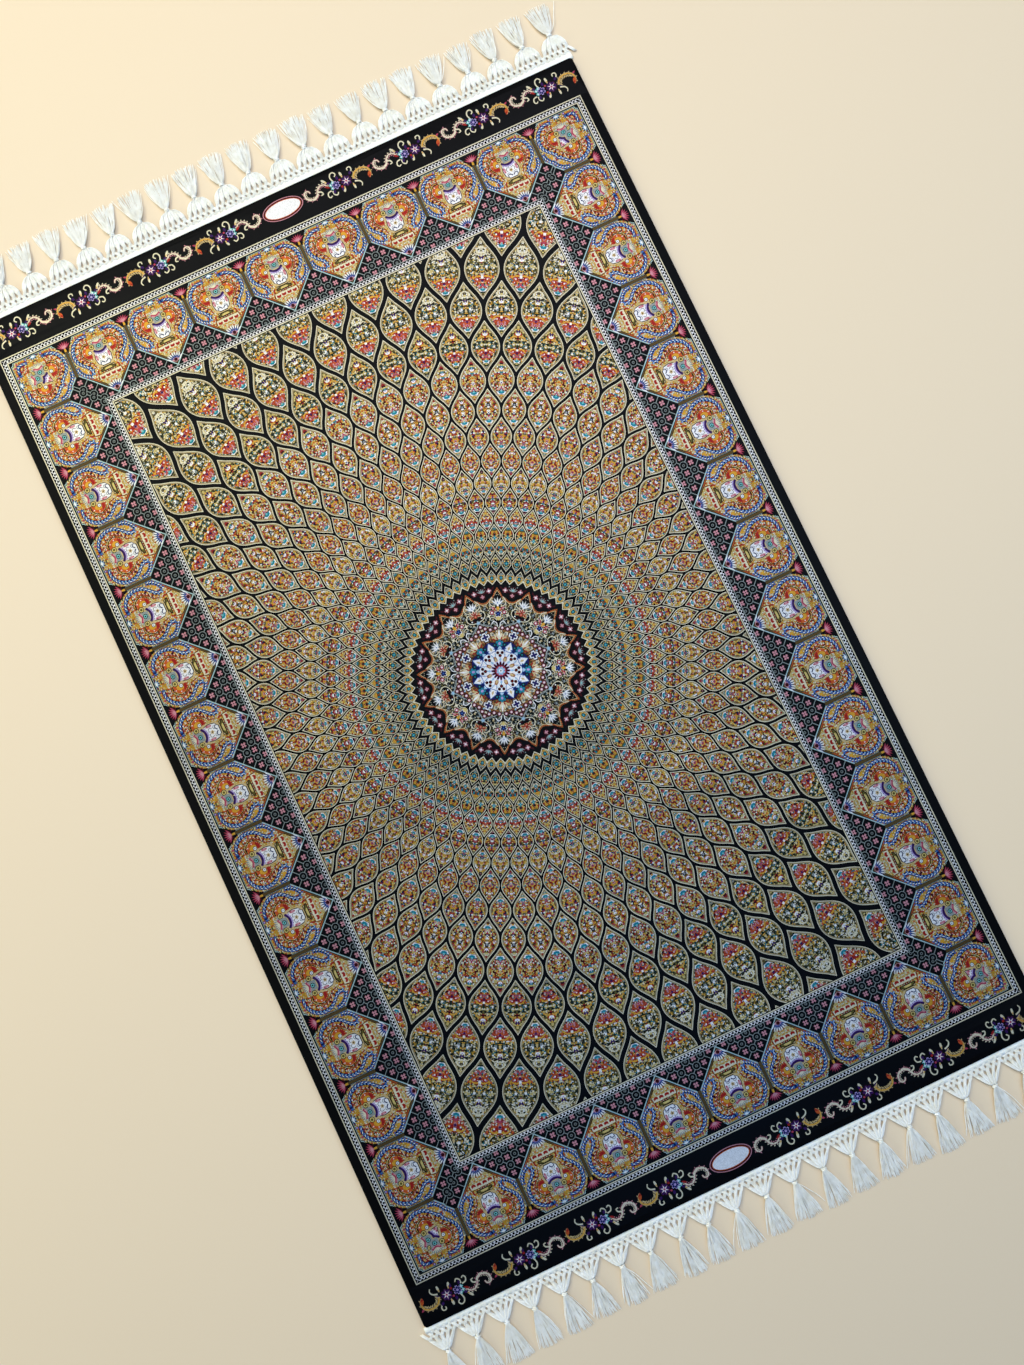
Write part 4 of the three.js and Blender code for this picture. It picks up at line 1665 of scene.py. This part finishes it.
def tassel_places(end):
    """Where each tassel has its knot, its lean and its tip, as the solids have them."""
    places = []
    for i in range(TASSELS):
        middle = (i - (TASSELS - 1) / 2) * TASSEL_PITCH
        places.append({
            "x": middle + STRAY["knot"] * stray(i, end["salt"]),
            "lean": STRAY["lean"] * stray(i, end["salt"] + 2),
            "tip": TAIL_TIP + STRAY["tip"] * stray(i, end["salt"] + 4),
        })
    return places


def heading_tape(width):
    """The woven tape along the pile's end: a slab whose top is ribbed."""
    half = RUG_WIDTH / 2 + HEADING["overhang"]
    last = 2 * round(2 * half / HEADING["rib"])
    columns = last + 1
    verts, faces = [], []
    for raised in (HEADING["height"], 0.0):
        for share, swell in TAPE_ROWS:
            for i in range(columns):
                crest = 1.0 if i % 2 else TAPE_GROOVE
                verts.append((-half + 2 * half * i / last, width * share, raised * swell * crest))
    top = len(TAPE_ROWS) * columns
    for r in range(len(TAPE_ROWS) - 1):
        for i in range(last):
            a = r * columns + i
            b = a + columns
            faces.append((a, a + 1, b + 1, b))
            faces.append((top + a, top + b, top + b + 1, top + a + 1))
        for i, turn in ((0, False), (last, True)):
            a = r * columns + i
            b = a + columns
            faces.append((a, top + a, top + b, b) if turn else (a, b, top + b, top + a))
    for r, turn in ((0, False), (len(TAPE_ROWS) - 1, True)):
        for i in range(last):
            a = r * columns + i
            faces.append((a, a + 1, top + a + 1, top + a) if turn else (a, top + a, top + a + 1, a + 1))
    return verts, faces


# Shares of a cord's way: across the net, and gathered into the knot
CROSSING = (0.0, 0.33, 0.67, 1.0)
GATHERING = (0.35, 0.65, 0.88, 1.0)
CORD_RADII = (0.62,) * 4 + (0.68,) * 3 + (0.55,)
THREADS_OF_CORD = (-1.5, -0.5, 0.5, 1.5)
THREAD_GAP = 0.95
CORD_HEIGHT = 1.5


def net_cords(end, places):
    """Crossing cords from the tape to the knots, four threads in each."""
    cords = Yarns(3, len(CORD_RADII))
    first, _, last = end["rows"]
    for place in places:
        for node in range(-2, 3):
            side = node * NET_PITCH
            for way in (-1, 1):
                for thread in THREADS_OF_CORD:
                    path = []
                    for share in CROSSING:
                        y = first - 1.2 + (last - first + 1.2) * share
                        x = place["x"] + side - way * (1 - share) * NET_PITCH + thread * THREAD_GAP
                        path.append((x, y, CORD_HEIGHT + 0.55 * way * math.cos(TAU * share)))
                    for share in GATHERING:
                        arch = math.sqrt(1 - share * share)
                        width = end["bulge"] * arch + (1 - end["bulge"]) * (1 - share)
                        edge = side * width * 0.94 + thread * THREAD_GAP * (1 - 0.45 * share)
                        apart = way * end["apart"] * math.sqrt(1 - share) + node * 0.9 * share
                        y = last + (end["knot"] + 1 - last) * share
                        z = CORD_HEIGHT + 1.3 * share + 0.4 * way * (1 - share) + 0.5 * thread * share
                        path.append((place["x"] + edge + apart, y, z))
                    cords.add(path, list(CORD_RADII))
    return cords


# The cord round a tassel's neck
KNOT_RINGS = 21
KNOT_TURNS = 2.6


def knots(end, places):
    """Each tassel's knot: turns of cord round its neck."""
    wraps = Yarns(5, KNOT_RINGS)
    for i, place in enumerate(places):
        slant = 0.5 * stray(i, 9)
        path = []
        for k in range(KNOT_RINGS):
            share = k / (KNOT_RINGS - 1)
            angle = TAU * KNOT_TURNS * share + i
            swell = 0.75 + 0.45 * math.sin(math.pi * share)
            x = place["x"] + 2.5 * swell * math.cos(angle)
            y = end["knot"] + 0.6 + (KNOT_LENGTH - 1.8) * share + slant * math.cos(angle)
            path.append((x, y, 2.6 + 1.7 * swell * math.sin(angle)))
        wraps.add(path, 0.85)
    return wraps


# Threads of a tassel: how many, the rings of each, how far they spread, and the share that strays
THREADS = 58
THREAD_RINGS = 10
HALF_TASSEL = 14.2
STRAY_SHARE = 0.08


def tassel_threads(end, places, dice, yarn):
    """The loose threads below each knot, spread on the floor, a few astray."""
    threads = Yarns(3, THREAD_RINGS, -0.25)
    bend = 0.75 if end["turn"] == 0.0 else 0.9
    root = end["knot"] + KNOT_LENGTH - 1.6
    for place in places:
        for i in range(THREADS):
            share = (i + 0.5) / THREADS * 2 - 1 + dice.uniform(-0.06, 0.06)
            reach = place["tip"] + 2.2 - 8.5 * dice.random() ** 2 - 2.6 * share * share
            locks = 0.5 * share + 0.1 * round(5 * share)
            spread = HALF_TASSEL * locks + place["lean"] + dice.uniform(-1.3, 1.3)
            if dice.random() < STRAY_SHARE:
                spread += dice.choice((-1, 1)) * dice.uniform(3, 8)
            wave = dice.uniform(0.3, 1.3) * dice.choice((-1, 1))
            swing = dice.uniform(0.7, 1.6)
            phase = dice.uniform(0, TAU)
            layer = dice.random()
            path = []
            for k in range(THREAD_RINGS):
                t = k / (THREAD_RINGS - 1)
                x = place["x"] + 2.1 * share * (1 - t) + spread * t ** bend
                x += wave * math.sin(TAU * swing * t + phase) * t * (1.4 - t)
                y = root + (reach - root) * (t - 0.05 * math.sin(math.pi * t) * share * share)
                hump = (0.9 + 3.2 * layer) * (1 - t) ** 1.2 + 1.5 * layer * t * (1.15 - t)
                path.append((x, y, yarn / 2 + hump))
            threads.add(path, [yarn / 2] * (THREAD_RINGS - 1) + [yarn * 0.32])
    return threads


# Operators

def take_over(piece, node):
    """A piece that rides on the part's one body and stands for a CAD node."""
    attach(piece, "root")
    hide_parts(node)


def finish_of(name, maker, *values):
    return bpy.data.materials.get(name) or maker(*values)


def add_pile(context, name, chart, region, parts, motif=None):
    """Knots one piece of the pile and puts it in the pile's place."""
    sizes = context.scene.rug_sizes
    piece = pile_piece(name, chart, region, sizes.back / MM, parts, motif)
    piece.data.materials.append(finish_of("dyed_silk", silk_finish, sizes.knot))
    take_over(piece, "pile")


class RUG_OT_stage(bpy.types.Operator):
    """Add the plain floor, the soft lights and the camera"""
    bl_idname = "rug.stage"
    bl_label = "Stage"

    def execute(self, context):
        bpy.ops.object.select_all(action="DESELECT")
        bpy.ops.mesh.primitive_plane_add(size=12, location=(0, 0, -0.0006))
        floor = context.active_object
        floor.name = "floor"
        bpy.ops.object.transform_apply(location=True)
        floor.data.materials.append(floor_finish(context.scene.rug_finish.floor))
        add_lights(context)
        add_camera(context)
        context.scene.view_settings.view_transform = "Standard"
        return {"FINISHED"}


# Soft lights round the rug: bearing clockwise from its far end and height in degrees, power and tint
LIGHTS = {
    "far_left": {"bearing": -30, "height": 45, "power": 47, "tint": (1.0, 1.0, 0.76)},
    "far_right": {"bearing": 28, "height": 60, "power": 43, "tint": (0.97, 0.96, 1.0)},
    "left": {"bearing": -90, "height": 25, "power": 28, "tint": (0.96, 1.0, 0.82)},
    "right": {"bearing": 90, "height": 45, "power": 25, "tint": (0.5, 0.76, 1.0)},
    "near": {"bearing": 180, "height": 62, "power": 15, "tint": (0.15, 0.45, 1.0)},
    "top": {"bearing": 0, "height": 89, "power": 9, "tint": (0.25, 0.5, 1.0)},
}
LIGHT_DISTANCE = 3.0
LIGHT_SIZE = 1.4


def add_lights(context):
    for name, light in LIGHTS.items():
        lamp = bpy.data.lights.new(name, "AREA")
        lamp.size = LIGHT_SIZE
        lamp.energy = light["power"]
        lamp.color = light["tint"]
        holder = bpy.data.objects.new(name, lamp)
        context.collection.objects.link(holder)
        bearing, height = math.radians(light["bearing"]), math.radians(light["height"])
        level = math.cos(height)
        place = Vector((level * math.sin(bearing), level * math.cos(bearing), math.sin(height)))
        holder.location = place * LIGHT_DISTANCE
        holder.rotation_euler = (-place).to_track_quat("-Z", "Y").to_euler()
    world = bpy.data.worlds.new("soft_room")
    context.scene.world = world
    world.use_nodes = True
    room = world.node_tree.nodes["Background"]
    room.inputs["Color"].default_value = (0.8, 0.9, 1.0, 1)
    room.inputs["Strength"].default_value = 0.11


# The photograph's view: place in metres, where it looks, which way is up, and its lens
VIEW = {
    "place": (-0.0182, -0.0779, 1.1619),
    "look": (0.0207, 0.05228, -0.99842),
    "up": (0.42586, 0.90305, 0.05612),
    "lens": 27.033,
}


def add_camera(context):
    camera = bpy.data.cameras.new("camera")
    camera.lens = VIEW["lens"]
    camera.sensor_width = 36
    holder = bpy.data.objects.new("camera", camera)
    context.collection.objects.link(holder)
    back = -Vector(VIEW["look"]).normalized()
    right = Vector(VIEW["up"]).cross(back).normalized()
    up = back.cross(right)
    turn = Matrix((right, up, back)).transposed().to_4x4()
    holder.matrix_world = Matrix.Translation(VIEW["place"]) @ turn
    context.scene.camera = holder


class RUG_OT_field(bpy.types.Operator):
    """Knot the field of almond cells and the medallion in its middle"""
    bl_idname = "rug.field"
    bl_label = "Field"

    def execute(self, context):
        chart = Chart()
        draw_cells(chart)
        draw_medallion(chart)
        for name, x0, x1 in (("pile_field_left", -FIELD_X, 0), ("pile_field_right", 0, FIELD_X)):
            region = [(x0, -FIELD_Y), (x1, -FIELD_Y), (x1, FIELD_Y), (x0, FIELD_Y)]
            add_pile(context, name, chart, region, 2, field_motif)
        return {"FINISHED"}


class RUG_OT_border(bpy.types.Operator):
    """Knot the four mitred sides of the border, with the plain edge of the long sides"""
    bl_idname = "rug.border"
    bl_label = "Border"

    def execute(self, context):
        short_side = [(GUARD_X, GUARD_Y), (-GUARD_X, GUARD_Y), (-FIELD_X, FIELD_Y), (FIELD_X, FIELD_Y)]
        long_side = [(HALF_WIDTH, -GUARD_Y), (HALF_WIDTH, GUARD_Y), (GUARD_X, GUARD_Y),
                     (FIELD_X, FIELD_Y), (FIELD_X, -FIELD_Y), (GUARD_X, -GUARD_Y)]
        short = (GUARD_Y, 2 * GUARD_X, SHORT_TILES, 2, short_side)
        long = (GUARD_X, 2 * GUARD_Y, LONG_TILES, 4, long_side)
        for name, turn, sign, (outer, length, tiles, parts, outline) in (
                ("far", 0, 1, short), ("right", math.pi / 2, 1, long),
                ("near", math.pi, -1, short), ("left", -math.pi / 2, -1, long)):
            chart = Chart()
            draw_border_side(chart, turn, outer, length, tiles)
            if outline is long_side:
                lay_side_rim(chart, sign)
            region = [(sign * x, sign * y) for x, y in outline]
            motif = border_motif(turn, outer, length / tiles, tiles)
            add_pile(context, "pile_border_" + name, chart, region, parts, motif)
        return {"FINISHED"}


class RUG_OT_ends(bpy.types.Operator):
    """Knot the black band at each end, with its sprays and its bare oval"""
    bl_idname = "rug.ends"
    bl_label = "End bands"

    def execute(self, context):
        rounded = [p for p in rim_outline(0.0) if p[1] > 0]
        for name, end in (("far", 1), ("near", -1)):
            chart = Chart()
            lay_rim(chart)
            draw_end_band(chart, end)
            region = [(-HALF_WIDTH, GUARD_Y), (HALF_WIDTH, GUARD_Y)] + rounded
            region = [(end * x, end * y) for x, y in region]
            add_pile(context, "pile_end_" + name, chart, region, 4)
        return {"FINISHED"}


class RUG_OT_fringes(bpy.types.Operator):
    """Net and knot the fringe at each end"""
    bl_idname = "rug.fringes"
    bl_label = "Fringes"

    def execute(self, context):
        sizes = context.scene.rug_fringe
        for name, end in ENDS.items():
            dice = random.Random(end["salt"])
            places = tassel_places(end)
            tape = heading_tape(end["rows"][0] + 0.6)
            cords = [net_cords(end, places), knots(end, places)]
            tails = tassel_threads(end, places, dice, sizes.yarn / MM)
            ivory = context.scene.rug_finish.ivory
            for piece in (
                    fringe_piece(name + "_net", end["turn"], cords, tape),
                    fringe_piece(name + "_tassels", end["turn"], [tails], rounded=False)):
                piece.data.materials.append(finish_of("spun_yarn", yarn_finish, ivory))
                take_over(piece, name)
        return {"FINISHED"}


class RUG_OT_back(bpy.types.Operator):
    """Weave the back under the pile, at the full size of the cloth"""
    bl_idname = "rug.back"
    bl_label = "Back"

    def execute(self, context):
        sizes = context.scene.rug_sizes
        bpy.ops.object.select_all(action="DESELECT")
        bpy.ops.mesh.primitive_plane_add(size=1)
        back = context.active_object
        back.name = "rug_back"
        back.data.name = "rug_back"
        chamfer = 0.8 * MM
        width, length = RUG_WIDTH * MM, RUG_LENGTH * MM
        bpy.ops.object.mode_set(mode="EDIT")
        bpy.ops.transform.resize(value=(width - 2 * chamfer, length - 2 * chamfer, 1))
        bpy.ops.mesh.bevel(offset=CORNER_RADIUS * MM, segments=6, affect="VERTICES")
        bpy.ops.mesh.select_all(action="SELECT")
        bpy.ops.mesh.extrude_region_move(TRANSFORM_OT_translate={"value": (0, 0, chamfer)})
        bpy.ops.transform.resize(value=(width / (width - 2 * chamfer), length / (length - 2 * chamfer), 1))
        bpy.ops.mesh.extrude_region_move(TRANSFORM_OT_translate={"value": (0, 0, sizes.back - chamfer)})
        bpy.ops.mesh.select_all(action="SELECT")
        bpy.ops.mesh.normals_make_consistent(inside=False)
        bpy.ops.object.mode_set(mode="OBJECT")
        back.data.materials.append(back_finish(context.scene.rug_finish.back))
        take_over(back, "pile")
        return {"FINISHED"}


class RUG_PT_panel(bpy.types.Panel):
    """Sizes, colours and steps of the rug"""
    bl_idname = "RUG_PT_panel"
    bl_label = "Silk Rug"
    bl_space_type = "VIEW_3D"
    bl_region_type = "UI"
    bl_category = "Silk Rug"

    def draw(self, context):
        for group in (context.scene.rug_sizes, context.scene.rug_fringe, context.scene.rug_finish):
            box = self.layout.box()
            for name in type(group).__annotations__:
                box.prop(group, name)
        for operator in OPERATORS:
            self.layout.operator(operator.bl_idname)


OPERATORS = (RUG_OT_stage, RUG_OT_field, RUG_OT_border, RUG_OT_ends, RUG_OT_fringes, RUG_OT_back)
CLASSES = (RugSizes, FringeSizes, RugFinish) + OPERATORS + (RUG_PT_panel,)
GROUPS = {"rug_sizes": RugSizes, "rug_fringe": FringeSizes, "rug_finish": RugFinish}


def register():
    for item in CLASSES:
        bpy.utils.register_class(item)
    for name, group in GROUPS.items():
        setattr(bpy.types.Scene, name, PointerProperty(type=group))


def unregister():
    for name in GROUPS:
        delattr(bpy.types.Scene, name)
    for item in reversed(CLASSES):
        bpy.utils.unregister_class(item)


def main():
    register()
    bpy.ops.rug.stage()
    bpy.ops.rug.field()
    bpy.ops.rug.border()
    bpy.ops.rug.ends()
    bpy.ops.rug.fringes()
    bpy.ops.rug.back()


if __name__ == "__main__":
    main()
